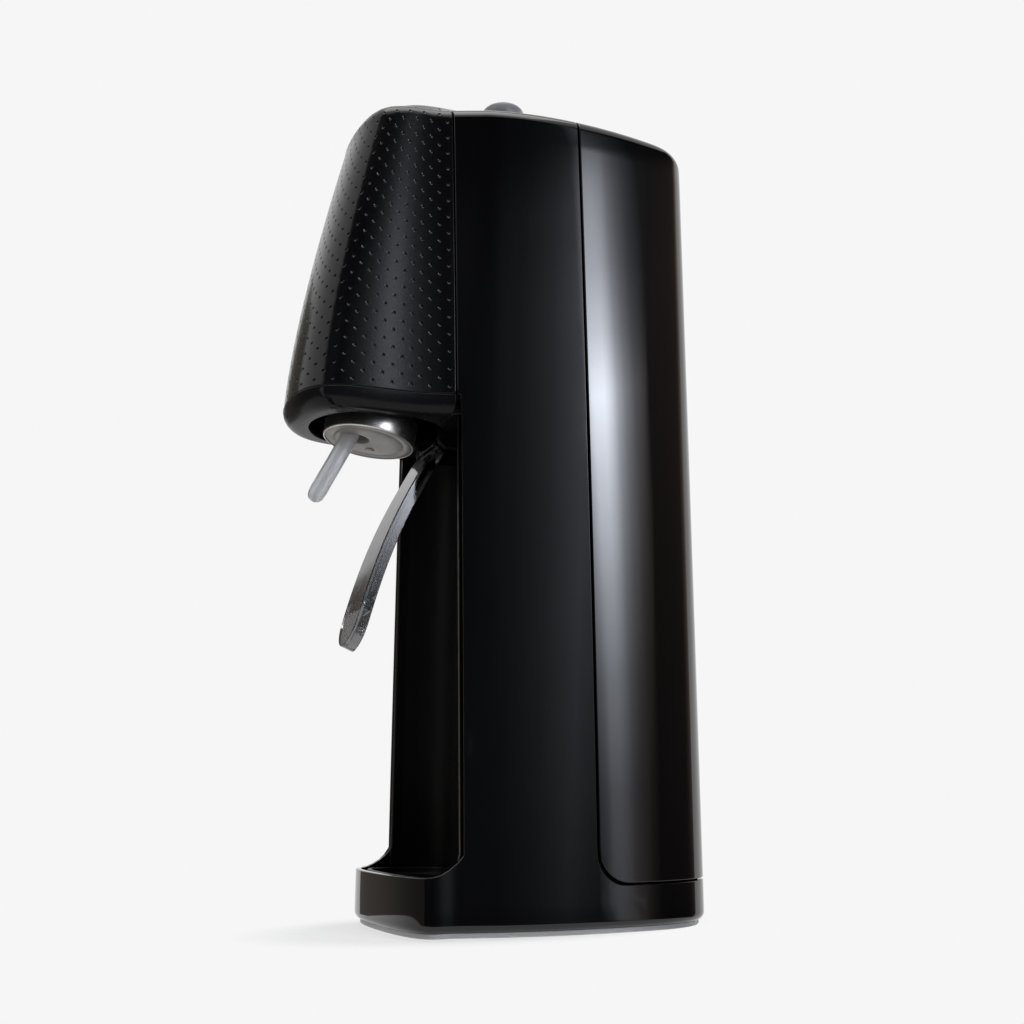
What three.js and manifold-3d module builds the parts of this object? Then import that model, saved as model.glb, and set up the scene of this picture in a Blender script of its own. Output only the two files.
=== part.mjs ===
// Sparkling water maker: a free-standing tower with a forward head, a bottle bay
// and a gas cylinder behind it. Millimetres, +Z up, front at -Y, origin at the
// bottom centre. Distances written as "ahead" and "behind" count from the front
// edges of the bay's side walls, which stand in the plane Y = BAY_Y.
import * as THREE from 'three';
import { mergeVertices } from 'three/addons/utils/BufferGeometryUtils.js';
import Module from 'manifold-3d';

const wasm = await Module();
wasm.setup();

// Driving sizes of the body
const DEPTH = 216;
const WIDTH = 132;
const WIDTH_BULGE = 1.2;
const SHOULDER_HEIGHT = 420;
const CROWN = 24;
const TOP_SLOPE = 0.08;
const LEVEL_BEHIND = 59.5;
const NOSE_DROOP = 9;
const DROOP_AHEAD = 14;
const HEAD_REACH = 81.5;
const TOP_REACH = 50.5;
const BASE_REACH = 30.5;
const HEAD_BOTTOM = 247;
const LIP_HEIGHT = 10;
const LIP_ROUND = 6;
const LIP_TUCK = 5;
const TRAY_RIM = 27;
const SKIRT_BOTTOM = 3;
const WALL = 2.6;
const GAP = 0.3;
const SEAM_GAP = 0.8;
const OVERRUN = 40;

// Plan outline of the tower
const WIDEST_BEHIND = 71.5;
const WIDEST_DRIFT = 27.7;
const FLANK_RADIUS = 128.7;
const BACK_POWER = 2.84;
const NOSE_SIDE_SHARE = 0.42;
const NOSE_FRONT_SHARE = 1.17;
const HEAD_FLARE_POWER = 1.6;
const SHOULDER_ROUND = 9;
const CROWN_POWER = 1.6;
const CROWN_SHARES = [0.8, 0.5, 0.2];
const SKIRT_ROUND = 4;
const FRONT_SEAM_AHEAD = 6.9;
const REAR_SEAM_BEHIND = 55.8;
const COVER_BOTTOM = 22;
const COVER_CORNER = 15;

// Bottle bay
const BAY_WALL_AHEAD = 2;
const BAY_EDGE_FLARE = 3.2;
const BAY_EDGE_START = 60;
const BAY_SWEEP = 21;
const BAY_DEPTH = 20;
const BAY_TAPER = 4.2;
const BAY_CORNER = 14;
const LINER_WALL = 2.3;

// Base, feet and screws
const PLATE_THICKNESS = 5.3;
const PLATE_DROP = 2;
const FOOT_RADIUS = 8;
const FOOT_INSET = 24;
const FRONT_FOOT_AHEAD = 10;
const REAR_FOOT_INSET = 33;
const SCREW_RADIUS = 1.6;
const SCREW_HEAD_RADIUS = 3;
const SCREW_LENGTH = 9;
const TRAY_WALL = 2;
const TRAY_INSET = 6;
const TRAY_CLEAR_HEIGHT = 117;

// Nozzle that tilts in the head's opening
const NOZZLE_AHEAD = 37.5;
const NOZZLE_DROP = 2.5;
const NOZZLE_TILT = 9;
const RING_RADIUS = 25.5;
const RING_HEIGHT = 9;
const RING_WALL = 2;
const RING_CLEARANCE = 3.5;
const SLOT_MARGIN = 2.5;
const SEAL_CLEARANCE = 1.5;
const SEAL_THICKNESS = 3.5;
const CARRIAGE_HEIGHT = 26;
const PIVOT_BACK = 22;
const PIVOT_UP = 27;
const EAR_RADIUS = 5;
const EAR_WIDTH = 10;
const HINGE_PIN_RADIUS = 3;
const POST_WIDTH = 4;

// Carbonation tube
const TUBE_RADIUS = 4.4;
const TUBE_LENGTH = 44.5;
const TUBE_LEAN = 26.9;
const TUBE_AHEAD = 6.5;
const TUBE_PIVOT_UP = 8;
const HOLDER_WALL = 2.6;
const HOLDER_HEIGHT = 13;
const TRUNNION_RADIUS = 1.6;
const TRUNNION_REACH = 13;

// Bottle lever
const LEVER_PIVOT_AHEAD = 1;
const LEVER_PIVOT_DROP = 5;
const LEVER_LENGTH = 118;
const LEVER_LEAN = 22.5;
const LEVER_WIDTH = 27;
const LEVER_BOW = 5;
const LEVER_RIB = 6.5;
const LEVER_SKIN = 2.2;
const LEVER_BOSS_RADIUS = 4.6;
const LEVER_PIN_RADIUS = 1.7;
const LEVER_PAD = 24;
const LUG_WALL = 3.9;

// Button and the lever under it
const BUTTON_BEHIND = 39.5;
const BUTTON_RADIUS = 12.3;
const BUTTON_HEIGHT = 12;
const BUTTON_TRAVEL = 4;
const COLLAR_WALL = 2.6;
const COLLAR_HEIGHT = 9;
const COLLAR_SINK = 4;
const ROD_RADIUS = 3.6;
const ROD_GAP = 0.4;
const SPRING_WIRE = 0.8;
const SPRING_TURNS = 5;
const ACTUATOR_DROP = 28;
const ACTUATOR_THICKNESS = 6;
const ACTUATOR_WIDTH = 16;
const AXLE_RADIUS = 2.5;
const AXLE_SETBACK = 20;

// Gas block, cylinder and chassis
const BLOCK_DROP = 15.7;
const BLOCK_SIZE = 40;
const BLOCK_HEIGHT = 24;
const VALVE_PIN_RADIUS = 2;
const RELIEF_RADIUS = 5;
const RELIEF_LENGTH = 12;
const HOSE_RADIUS = 2;
const SHELF_THICKNESS = 4;
const NECK_DROP = 16;
const DOME_HEIGHT = 20;
const CYLINDER_SETBACK = 2.25;
const CYLINDER_RADIUS = 30;
const CYLINDER_BOTTOM = 9;
const CYLINDER_WALL = 3;
const NECK_RADIUS = 12;
const VALVE_RADIUS = 9;
const VALVE_BORE = 2.2;
const VALVE_HEIGHT = 26;
const CRADLE_WALL = 3;
const CRADLE_HEIGHT = 14;
const CHASSIS_HALF_WIDTH = 36;
const CHASSIS_WALL = 3;

// Counts
const BACK_STEPS = 16;
const FLANK_STEPS = 4;
const NOSE_STEPS = 9;
const ROUND_STEPS = 4;
const BODY_LEVELS = 3;
const HEAD_LEVELS = 4;
const LEVER_STEPS = 8;
const HOSE_STEPS = 24;
const HOSE_SIDES = 8;
const COIL_STEPS = 8;
const WIRE_SIDES = 5;
const FINE_SIDES = 28;
const SMALL_SIDES = 16;
const MERGE_TOLERANCE = 1e-4;

// Places and sizes that follow from them
const BAY_Y = HEAD_REACH - DEPTH / 2;
const BACK_BEHIND = DEPTH - HEAD_REACH;
const CREST = SHOULDER_HEIGHT + CROWN;
const SKIRT_TOP = SKIRT_BOTTOM + SKIRT_ROUND;
const PANEL_BOTTOM = HEAD_BOTTOM + LIP_HEIGHT;
const PLATE_BOTTOM = SKIRT_BOTTOM - PLATE_DROP;
const PLATE_TOP = PLATE_BOTTOM + PLATE_THICKNESS;
const REAR_FOOT_BEHIND = BACK_BEHIND - REAR_FOOT_INSET;
const SLOT_HALF_WIDTH = RING_RADIUS + RING_CLEARANCE;
const SLOT_FRONT_AHEAD = NOZZLE_AHEAD + SLOT_HALF_WIDTH + SLOT_MARGIN;
const SLOT_REAR_AHEAD = LEVER_PIVOT_AHEAD - SLOT_MARGIN * 1.2;
const SEAL_RADIUS = RING_RADIUS - RING_WALL - SEAL_CLEARANCE;
const CARRIAGE_RADIUS = SEAL_RADIUS - SEAL_CLEARANCE * 2 / 3;
const EAR_OUTER = RING_RADIUS - RING_WALL / 4;
const EAR_INNER = EAR_OUTER - EAR_WIDTH;
const POST_INNER = SLOT_HALF_WIDTH + SLOT_MARGIN;
const HOLDER_RADIUS = TUBE_RADIUS + HOLDER_WALL;
const LEVER_PIVOT_HEIGHT = HEAD_BOTTOM - LEVER_PIVOT_DROP;
const ACTUATOR_HEIGHT = SHOULDER_HEIGHT - ACTUATOR_DROP;
const BLOCK_TOP = ACTUATOR_HEIGHT - BLOCK_DROP;
const BLOCK_BOTTOM = BLOCK_TOP - BLOCK_HEIGHT;
const SHELF_HEIGHT = BLOCK_BOTTOM - GAP - SHELF_THICKNESS;
const CYLINDER_TOP = SHELF_HEIGHT - NECK_DROP;
const CYLINDER_SHOULDER = CYLINDER_TOP - NECK_RADIUS - DOME_HEIGHT;
const VALVE_TOP = CYLINDER_TOP + VALVE_HEIGHT;
const CHASSIS_BEHIND = BAY_DEPTH + LINER_WALL + GAP;
const CYLINDER_BEHIND = (CHASSIS_BEHIND + CHASSIS_WALL + BACK_BEHIND - WALL) / 2 + CYLINDER_SETBACK;
const AXLE_BEHIND = CYLINDER_BEHIND + AXLE_SETBACK;

const behind = (distance) => BAY_Y + distance;
const ahead = (distance) => BAY_Y - distance;
const radians = THREE.MathUtils.degToRad;

const part = new THREE.Group();

// Solids

function solidOf(geometry) {
  const plain = geometry.clone();
  for (const name of Object.keys(plain.attributes)) {
    if (name !== 'position') plain.deleteAttribute(name);
  }
  const merged = mergeVertices(plain, MERGE_TOLERANCE);
  return new wasm.Manifold(new wasm.Mesh({
    numProp: 3,
    vertProperties: new Float32Array(merged.attributes.position.array),
    triVerts: new Uint32Array(merged.index.array),
  }));
}

function geometryOf(solid) {
  const mesh = solid.getMesh();
  const geometry = new THREE.BufferGeometry();
  geometry.setAttribute('position', new THREE.BufferAttribute(mesh.vertProperties, 3));
  geometry.setIndex(new THREE.BufferAttribute(mesh.triVerts, 1));
  return geometry;
}

const joined = (...solids) => solids.reduce((all, next) => all.add(next));
const cut = (solid, ...tools) => tools.reduce((rest, tool) => rest.subtract(tool), solid);

// A closed skin over rings of points that have equal counts, capped to each end's middle
function loft(rings) {
  const count = rings[0].length;
  const middle = (ring) => ring.reduce((sum, p) => sum.add(p), new THREE.Vector3()).divideScalar(count);
  const points = [...rings.flat(), middle(rings[0]), middle(rings.at(-1))];
  const faces = [];
  const lowMiddle = points.length - 2;
  const highMiddle = points.length - 1;
  const highStart = (rings.length - 1) * count;
  for (let i = 0; i < count; i += 1) {
    const j = (i + 1) % count;
    faces.push(lowMiddle, j, i, highMiddle, highStart + i, highStart + j);
    for (let k = 0; k < rings.length - 1; k += 1) {
      const low = k * count;
      const high = low + count;
      faces.push(low + i, low + j, high + j, low + i, high + j, high + i);
    }
  }
  const geometry = new THREE.BufferGeometry().setFromPoints(points);
  geometry.setIndex(faces);
  return solidOf(geometry.toNonIndexed());
}

function box(x0, x1, y0, y1, z0, z1) {
  const geometry = new THREE.BoxGeometry(x1 - x0, y1 - y0, z1 - z0);
  geometry.translate((x0 + x1) / 2, (y0 + y1) / 2, (z0 + z1) / 2);
  return solidOf(geometry);
}

// An upright extrusion of an outline in X and Y
function upright(shape, z0, z1, curveSegments = ROUND_STEPS) {
  const geometry = new THREE.ExtrudeGeometry(shape, { depth: z1 - z0, bevelEnabled: false, curveSegments });
  geometry.translate(0, 0, z0);
  return solidOf(geometry);
}

// A sideways extrusion, right across, of an outline in Y and Z
function sideways(shape, x0, x1, curveSegments = ROUND_STEPS) {
  const geometry = new THREE.ExtrudeGeometry(shape, { depth: x1 - x0, bevelEnabled: false, curveSegments });
  geometry.translate(0, 0, x0);
  geometry.applyMatrix4(new THREE.Matrix4().makeBasis(
    new THREE.Vector3(0, 1, 0), new THREE.Vector3(0, 0, 1), new THREE.Vector3(1, 0, 0)));
  return solidOf(geometry);
}

// An extrusion towards the front of an outline in X and Z
function facing(shape, y0, y1) {
  const options = { depth: y1 - y0, bevelEnabled: false, curveSegments: SMALL_SIDES };
  const geometry = new THREE.ExtrudeGeometry(shape, options);
  geometry.rotateX(Math.PI / 2);
  geometry.translate(0, y1, 0);
  return solidOf(geometry);
}

function outlineOf(points) {
  const shape = new THREE.Shape();
  shape.setFromPoints(points.map(([a, b]) => new THREE.Vector2(a, b)));
  return shape;
}

// A turned solid about an upright axis, from radius and height pairs that close on the axis
function turned(profile, x, y, sides = FINE_SIDES) {
  const geometry = new THREE.LatheGeometry(profile.map(([r, z]) => new THREE.Vector2(r, z)), sides);
  geometry.rotateX(Math.PI / 2);
  geometry.translate(x, y, 0);
  return solidOf(geometry);
}

function disc(radius, z0, z1, x, y, sides = FINE_SIDES) {
  const geometry = new THREE.CylinderGeometry(radius, radius, z1 - z0, sides);
  geometry.rotateX(Math.PI / 2);
  geometry.translate(x, y, (z0 + z1) / 2);
  return solidOf(geometry);
}

// A round bar along X
function bar(radius, x0, x1, y, z, sides = SMALL_SIDES) {
  const geometry = new THREE.CylinderGeometry(radius, radius, x1 - x0, sides);
  geometry.rotateZ(Math.PI / 2);
  geometry.translate((x0 + x1) / 2, y, z);
  return solidOf(geometry);
}

function sweep(curve, radius, steps, sides) {
  const shape = new THREE.Shape();
  shape.absarc(0, 0, radius, 0, Math.PI * 2, false);
  const section = outlineOf(shape.getSpacedPoints(sides).slice(0, sides).map((p) => [p.x, p.y]));
  return solidOf(new THREE.ExtrudeGeometry(section, { steps, extrudePath: curve, bevelEnabled: false }));
}

// Plan outline of the body

// The sides swell a little at half height, and the widest place drifts back as it rises
function halfWidth(z) {
  const rise = z / SHOULDER_HEIGHT;
  return WIDTH / 2 + WIDTH_BULGE * 4 * rise * (1 - rise);
}

const widest = (z) => WIDEST_BEHIND + WIDEST_DRIFT * z / SHOULDER_HEIGHT;
const flankWidth = (distance, z) => halfWidth(z)
  * Math.sqrt(1 - ((widest(z) - distance) / FLANK_RADIUS) ** 2);

// Right half of the outline, from the back's middle round to the nose's tip
function halfOutline(z, reach) {
  const points = [];
  for (let i = 0; i <= BACK_STEPS; i += 1) {
    const angle = Math.PI / 2 * (1 - i / BACK_STEPS);
    points.push(new THREE.Vector2(
      halfWidth(z) * Math.cos(angle) ** (2 / BACK_POWER),
      widest(z) + (BACK_BEHIND - widest(z)) * Math.sin(angle) ** (2 / BACK_POWER)));
  }
  for (let i = 1; i <= FLANK_STEPS; i += 1) {
    const distance = widest(z) - (widest(z) + FRONT_SEAM_AHEAD) * i / FLANK_STEPS;
    points.push(new THREE.Vector2(flankWidth(distance, z), distance));
  }
  const side = flankWidth(-FRONT_SEAM_AHEAD, z);
  const reachBack = widest(z) + FRONT_SEAM_AHEAD;
  const lean = side * reachBack / (FLANK_RADIUS ** 2 - reachBack ** 2);
  const handle = NOSE_SIDE_SHARE * (reach - FRONT_SEAM_AHEAD);
  const nose = new THREE.CubicBezierCurve(
    new THREE.Vector2(side, -FRONT_SEAM_AHEAD),
    new THREE.Vector2(side - lean * handle, -FRONT_SEAM_AHEAD - handle),
    new THREE.Vector2(side * NOSE_FRONT_SHARE, -reach),
    new THREE.Vector2(0, -reach));
  points.push(...nose.getPoints(NOSE_STEPS).slice(1));
  return points;
}

// The top slopes up to the front and droops at the nose, by a share that grows over the head
function lift(distance, height) {
  const start = SHOULDER_HEIGHT - SHOULDER_ROUND;
  const grown = THREE.MathUtils.clamp((height - PANEL_BOTTOM) / (start - PANEL_BOTTOM), 0, 1);
  const nose = Math.max(0, -distance - DROOP_AHEAD) / (TOP_REACH - DROOP_AHEAD);
  return (TOP_SLOPE * (LEVEL_BEHIND - distance) - NOSE_DROOP * nose ** 2) * grown;
}

// Whole outline at a height, drawn in by an inset measured square to it
function ring(z, reach, inset = 0, scale = 1, height = z) {
  const right = halfOutline(z, reach);
  const left = right.slice(1, -1).reverse().map((p) => new THREE.Vector2(-p.x, p.y));
  const loop = [...right, ...left].reverse();
  const centre = new THREE.Vector2(0, (BACK_BEHIND - reach) / 2);
  return loop.map((p, i) => {
    const before = loop.at(i - 1);
    const after = loop[(i + 1) % loop.length];
    const along = after.clone().sub(before).normalize();
    const moved = new THREE.Vector2(p.x - along.y * inset, p.y + along.x * inset);
    moved.sub(centre).multiplyScalar(scale).add(centre);
    return new THREE.Vector3(moved.x, behind(moved.y), height + lift(moved.y, height));
  });
}

function headReach(z) {
  const rise = Math.max(0, (z - HEAD_BOTTOM) / (SHOULDER_HEIGHT - HEAD_BOTTOM));
  return HEAD_REACH - (HEAD_REACH - TOP_REACH) * rise ** HEAD_FLARE_POWER;
}

// Rings of the rounded shoulder and the crowned top, drawn in by a wall thickness
function topRings(reachAt, wall) {
  const rings = [];
  const start = SHOULDER_HEIGHT - SHOULDER_ROUND;
  const round = SHOULDER_ROUND - wall;
  for (let i = 0; i <= ROUND_STEPS; i += 1) {
    const angle = Math.PI / 2 * i / ROUND_STEPS;
    const inset = wall + round * (1 - Math.cos(angle));
    rings.push(ring(start, reachAt(start), inset, 1, start + round * Math.sin(angle)));
  }
  const flat = start + round;
  for (const share of CROWN_SHARES) {
    const rise = CROWN * (1 - share ** CROWN_POWER);
    rings.push(ring(start, reachAt(start), SHOULDER_ROUND, share, flat + rise));
  }
  return rings;
}

// The whole tower in one skin: skirt, base nose, then the flaring head and its crowned top
function towerSolid(wall, bottom, round) {
  const rings = [ring(SKIRT_TOP, BASE_REACH, wall + round, 1, bottom)];
  for (let i = 1; i < ROUND_STEPS && round; i += 1) {
    const angle = Math.PI / 2 * i / ROUND_STEPS;
    rings.push(ring(SKIRT_TOP, BASE_REACH, wall + round * (1 - Math.sin(angle)), 1,
      bottom + round * (1 - Math.cos(angle))));
  }
  const neck = HEAD_BOTTOM - 2 * WALL;
  for (let i = 0; i <= BODY_LEVELS; i += 1) {
    rings.push(ring(SKIRT_TOP + (neck - SKIRT_TOP) * i / BODY_LEVELS, BASE_REACH, wall));
  }
  const start = SHOULDER_HEIGHT - SHOULDER_ROUND;
  for (let i = 0; i < HEAD_LEVELS; i += 1) {
    const z = HEAD_BOTTOM + (start - HEAD_BOTTOM) * i / HEAD_LEVELS;
    rings.push(ring(z, headReach(z), wall));
  }
  return loft([...rings, ...topRings(headReach, wall)]);
}

const shell = towerSolid(0, SKIRT_BOTTOM, SKIRT_ROUND)
  .subtract(towerSolid(WALL, SKIRT_BOTTOM - OVERRUN, 0));

// Regions that the seams cut, as solids right across the body

const aheadOfSeam = (margin, z0) => box(-WIDTH, WIDTH, ahead(DEPTH),
  ahead(FRONT_SEAM_AHEAD + margin), z0, CREST + OVERRUN);

function behindSeam(margin) {
  const seam = behind(REAR_SEAM_BEHIND + margin);
  const low = COVER_BOTTOM + margin;
  const shape = new THREE.Shape();
  shape.moveTo(seam, CREST + OVERRUN);
  shape.lineTo(seam, low + COVER_CORNER);
  shape.absarc(seam + COVER_CORNER, low + COVER_CORNER, COVER_CORNER, Math.PI, Math.PI * 1.5, false);
  shape.lineTo(behind(BACK_BEHIND + OVERRUN), low);
  shape.lineTo(behind(BACK_BEHIND + OVERRUN), CREST + OVERRUN);
  return sideways(shape, -WIDTH, WIDTH, ROUND_STEPS + 2);
}

// The space in front of the bay's side walls, with its sweep down to the tray rim
function bayFront(top) {
  const wall = ahead(BAY_WALL_AHEAD);
  const shape = new THREE.Shape();
  shape.moveTo(ahead(DEPTH), TRAY_RIM);
  shape.lineTo(wall - BAY_SWEEP, TRAY_RIM);
  shape.absarc(wall - BAY_SWEEP, TRAY_RIM + BAY_SWEEP, BAY_SWEEP, -Math.PI / 2, 0, false);
  shape.lineTo(wall, BAY_EDGE_START);
  shape.quadraticCurveTo(wall, (BAY_EDGE_START + HEAD_BOTTOM) / 2, wall - BAY_EDGE_FLARE, HEAD_BOTTOM);
  shape.lineTo(wall - BAY_EDGE_FLARE, top);
  shape.lineTo(ahead(DEPTH), top);
  return sideways(shape, -WIDTH, WIDTH, ROUND_STEPS + 3);
}

// Plan of the bay channel at a height, grown by a margin, open to the front
function bayPlan(margin, front, z, height = z) {
  const flankInset = WALL * 1.2;
  const side = flankWidth(-BAY_WALL_AHEAD - BAY_EDGE_FLARE, z) - flankInset - 2 * GAP - LINER_WALL + margin;
  const rear = side - BAY_TAPER;
  const back = BAY_DEPTH + margin;
  const corner = BAY_CORNER + margin;
  const shape = new THREE.Shape();
  shape.moveTo(-side, -front);
  shape.lineTo(side, -front);
  shape.lineTo(side, 0);
  shape.lineTo(rear + (side - rear) * corner / back, back - corner);
  shape.quadraticCurveTo(rear, back, rear - corner, back);
  shape.lineTo(corner - rear, back);
  shape.quadraticCurveTo(-rear, back, -rear - (side - rear) * corner / back, back - corner);
  shape.lineTo(-side, 0);
  return shape.getPoints(ROUND_STEPS + 2).map((p) => new THREE.Vector3(p.x, behind(p.y), height));
}

// Adding meshes

function material(color, roughness, metalness, opacity = 1) {
  return new THREE.MeshStandardMaterial({
    color, roughness, metalness, opacity, transparent: opacity < 1,
  });
}

function add(name, solid, finish, parent = part) {
  const mesh = new THREE.Mesh(geometryOf(solid), finish());
  mesh.name = name;
  parent.add(mesh);
  return mesh;
}

const glossBlack = () => material('#0b0c0d', 0.12, 0);
const darkGrey = () => material('#2b2c2e', 0.35, 0);
const midGrey = () => material('#8d9092', 0.4, 0);
const steel = () => material('#b9b8b5', 0.28, 1);
const rubber = () => material('#1a1a1b', 0.85, 0);
const paleSeal = () => material('#c9c7c2', 0.6, 0);
const clearWhite = () => material('#e9ebec', 0.25, 0, 0.75);
const clearGrey = () => material('#55585c', 0.12, 0, 0.5);
const aluminium = () => material('#a5a9ad', 0.35, 1);
const brass = () => material('#b5a25a', 0.35, 1);

// Casing

function housing() {
  const button = disc(BUTTON_RADIUS + COLLAR_WALL + GAP, SHOULDER_HEIGHT, CREST + OVERRUN,
    0, behind(BUTTON_BEHIND));
  return cut(shell, aheadOfSeam(0, HEAD_BOTTOM - OVERRUN), behindSeam(0), bayFront(PANEL_BOTTOM), button)
    .add(shell.intersect(box(-WIDTH, WIDTH, ahead(DEPTH), ahead(FRONT_SEAM_AHEAD),
      0, TRAY_RIM + BAY_SWEEP)).subtract(bayFront(PANEL_BOTTOM)));
}

const frontPanel = () => shell.intersect(aheadOfSeam(SEAM_GAP / 2, PANEL_BOTTOM + GAP));

const rearCover = () => shell.intersect(behindSeam(SEAM_GAP));

function headUnderside() {
  const plateTop = HEAD_BOTTOM + WALL;
  const rings = [];
  for (let i = 0; i <= ROUND_STEPS; i += 1) {
    const angle = Math.PI / 2 * i / ROUND_STEPS;
    const drawn = 1 - Math.sin(angle);
    rings.push(ring(HEAD_BOTTOM, HEAD_REACH - LIP_TUCK * drawn, LIP_ROUND * drawn, 1,
      HEAD_BOTTOM + LIP_HEIGHT * (1 - Math.cos(angle))));
  }
  const bowl = loft(rings).subtract(loft([
    ring(HEAD_BOTTOM, HEAD_REACH - LIP_TUCK, WALL + LIP_ROUND / 2, 1, plateTop),
    ring(HEAD_BOTTOM, HEAD_REACH, WALL, 1, PANEL_BOTTOM),
    ring(HEAD_BOTTOM, HEAD_REACH, WALL, 1, PANEL_BOTTOM + WALL)]));
  const nose = bowl.intersect(aheadOfSeam(SEAM_GAP / 2, 0));
  const tongue = loft([ring(HEAD_BOTTOM, HEAD_REACH, WALL + GAP),
    ring(HEAD_BOTTOM, HEAD_REACH, WALL + GAP, 1, plateTop)])
    .intersect(box(-WIDTH, WIDTH, ahead(FRONT_SEAM_AHEAD + WALL + SEAM_GAP),
      behind(BAY_DEPTH + LINER_WALL), 0, CREST));
  const middle = (SLOT_FRONT_AHEAD + SLOT_REAR_AHEAD) / 2;
  const half = (SLOT_FRONT_AHEAD - SLOT_REAR_AHEAD) / 2 - SLOT_HALF_WIDTH;
  const slot = joined(
    box(-SLOT_HALF_WIDTH, SLOT_HALF_WIDTH, ahead(middle + half), ahead(middle - half), 0, CREST),
    disc(SLOT_HALF_WIDTH, 0, CREST, 0, ahead(middle + half)),
    disc(SLOT_HALF_WIDTH, 0, CREST, 0, ahead(middle - half)));
  const posts = [-1, 1].map((side) => {
    const x = [side * POST_INNER, side * (POST_INNER + POST_WIDTH)].sort((a, b) => a - b);
    const y = pivotWorld.y;
    return cut(box(x[0], x[1], y - EAR_RADIUS, y + EAR_RADIUS, HEAD_BOTTOM + WALL / 2,
      pivotWorld.z + EAR_RADIUS),
      bar(HINGE_PIN_RADIUS + GAP, x[0] - WALL, x[1] + WALL, y, pivotWorld.z));
  });
  const lugs = [-1, 1].map((side) => {
    const inner = LEVER_WIDTH / 2 + GAP * 2;
    const x = [side * inner, side * (inner + LUG_WALL)].sort((a, b) => a - b);
    const y = ahead(LEVER_PIVOT_AHEAD);
    return cut(box(x[0], x[1], y - LEVER_BOSS_RADIUS, behind(BAY_DEPTH),
      LEVER_PIVOT_HEIGHT - LEVER_BOSS_RADIUS, HEAD_BOTTOM + WALL / 2),
      bar(LEVER_PIN_RADIUS + GAP, x[0] - WALL, x[1] + WALL, y, LEVER_PIVOT_HEIGHT));
  });
  return joined(cut(joined(nose, tongue), slot), ...posts, ...lugs);
}

// The channel narrows upwards with the flanks, and its front edge follows theirs
function bayLiner() {
  const bottom = PLATE_TOP + GAP;
  const top = HEAD_BOTTOM - GAP;
  const front = BAY_WALL_AHEAD + BAY_EDGE_FLARE;
  const outer = loft([bayPlan(LINER_WALL, front, bottom), bayPlan(LINER_WALL, front, top)]);
  const inner = loft([bayPlan(0, DEPTH, bottom, bottom - WALL), bayPlan(0, DEPTH, top, top + WALL)]);
  return outer.subtract(inner).subtract(bayFront(CREST));
}

function basePlate() {
  const plate = loft([ring(SKIRT_TOP, BASE_REACH, WALL + GAP, 1, PLATE_BOTTOM),
    ring(SKIRT_TOP, BASE_REACH, WALL + GAP, 1, PLATE_TOP)]);
  const holes = screwPlaces().map(([x, y]) => joined(
    disc(SCREW_RADIUS + GAP, 0, PLATE_TOP + WALL, x, y, SMALL_SIDES),
    disc(SCREW_HEAD_RADIUS + GAP, 0, PLATE_BOTTOM + PLATE_THICKNESS / 2, x, y, SMALL_SIDES)));
  return cut(plate, ...holes);
}

function screwPlaces() {
  const places = [];
  for (const side of [-1, 1]) {
    places.push([side * CHASSIS_HALF_WIDTH * 0.8, behind(CHASSIS_BEHIND + GAP + CHASSIS_WALL * 2)]);
    places.push([side * (CYLINDER_RADIUS + CRADLE_WALL) * 0.8,
      behind(CYLINDER_BEHIND + (CYLINDER_RADIUS + CRADLE_WALL) * 0.85)]);
  }
  return places;
}

function footPlaces() {
  const places = [];
  for (const [side, word] of [[-1, 'right'], [1, 'left']]) {
    for (const [distance, place] of [[-FRONT_FOOT_AHEAD, 'front'], [REAR_FOOT_BEHIND, 'rear']]) {
      places.push([`foot_${place}_${word}`,
        side * (flankWidth(distance, 0) - FOOT_INSET), behind(distance)]);
    }
  }
  return places;
}

const foot = (x, y) => turned([[0, 0], [FOOT_RADIUS - WALL / 3, 0], [FOOT_RADIUS, WALL / 3],
  [FOOT_RADIUS, PLATE_BOTTOM - GAP / 3], [0, PLATE_BOTTOM - GAP / 3]], x, y, SMALL_SIDES);

// The tray keeps clear of the narrowing channel while it is lifted out
function dripTray() {
  const bottom = PLATE_TOP + GAP;
  const top = TRAY_RIM - GAP;
  const channel = (inset, z) => bayPlan(TRAY_INSET - inset - GAP, DEPTH, TRAY_CLEAR_HEIGHT, z);
  const plan = (inset, z0, z1) => loft([ring(SKIRT_TOP, BASE_REACH, inset, 1, z0),
    ring(SKIRT_TOP, BASE_REACH, inset, 1, z1)])
    .intersect(loft([channel(inset, z0 - WALL), channel(inset, z1 + WALL)]));
  return plan(TRAY_INSET, bottom, top)
    .subtract(plan(TRAY_INSET + TRAY_WALL, bottom + TRAY_WALL, top + OVERRUN));
}

// Nozzle, tilted in the head's opening

const nozzleCentre = new THREE.Vector3(0, ahead(NOZZLE_AHEAD), HEAD_BOTTOM - NOZZLE_DROP);
const tilt = radians(-NOZZLE_TILT);
const pivotWorld = new THREE.Vector3(0, PIVOT_BACK, PIVOT_UP)
  .applyAxisAngle(new THREE.Vector3(1, 0, 0), tilt).add(nozzleCentre);

function steelRing() {
  const floor = GAP * 4;
  return turned([[SEAL_RADIUS - WALL, 0], [RING_RADIUS - GAP * 2, 0], [RING_RADIUS, GAP * 2],
    [RING_RADIUS, RING_HEIGHT], [RING_RADIUS - RING_WALL, RING_HEIGHT], [RING_RADIUS - RING_WALL, floor],
    [SEAL_RADIUS - WALL, floor], [SEAL_RADIUS - WALL, 0]], 0, 0);
}

const tubeHole = HOLDER_RADIUS + WALL * 0.8;

function bottleSeal() {
  const bottom = GAP * 5;
  return disc(SEAL_RADIUS, bottom, bottom + SEAL_THICKNESS, 0, 0)
    .subtract(disc(tubeHole, 0, bottom + RING_HEIGHT, 0, -TUBE_AHEAD, SMALL_SIDES));
}

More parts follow.
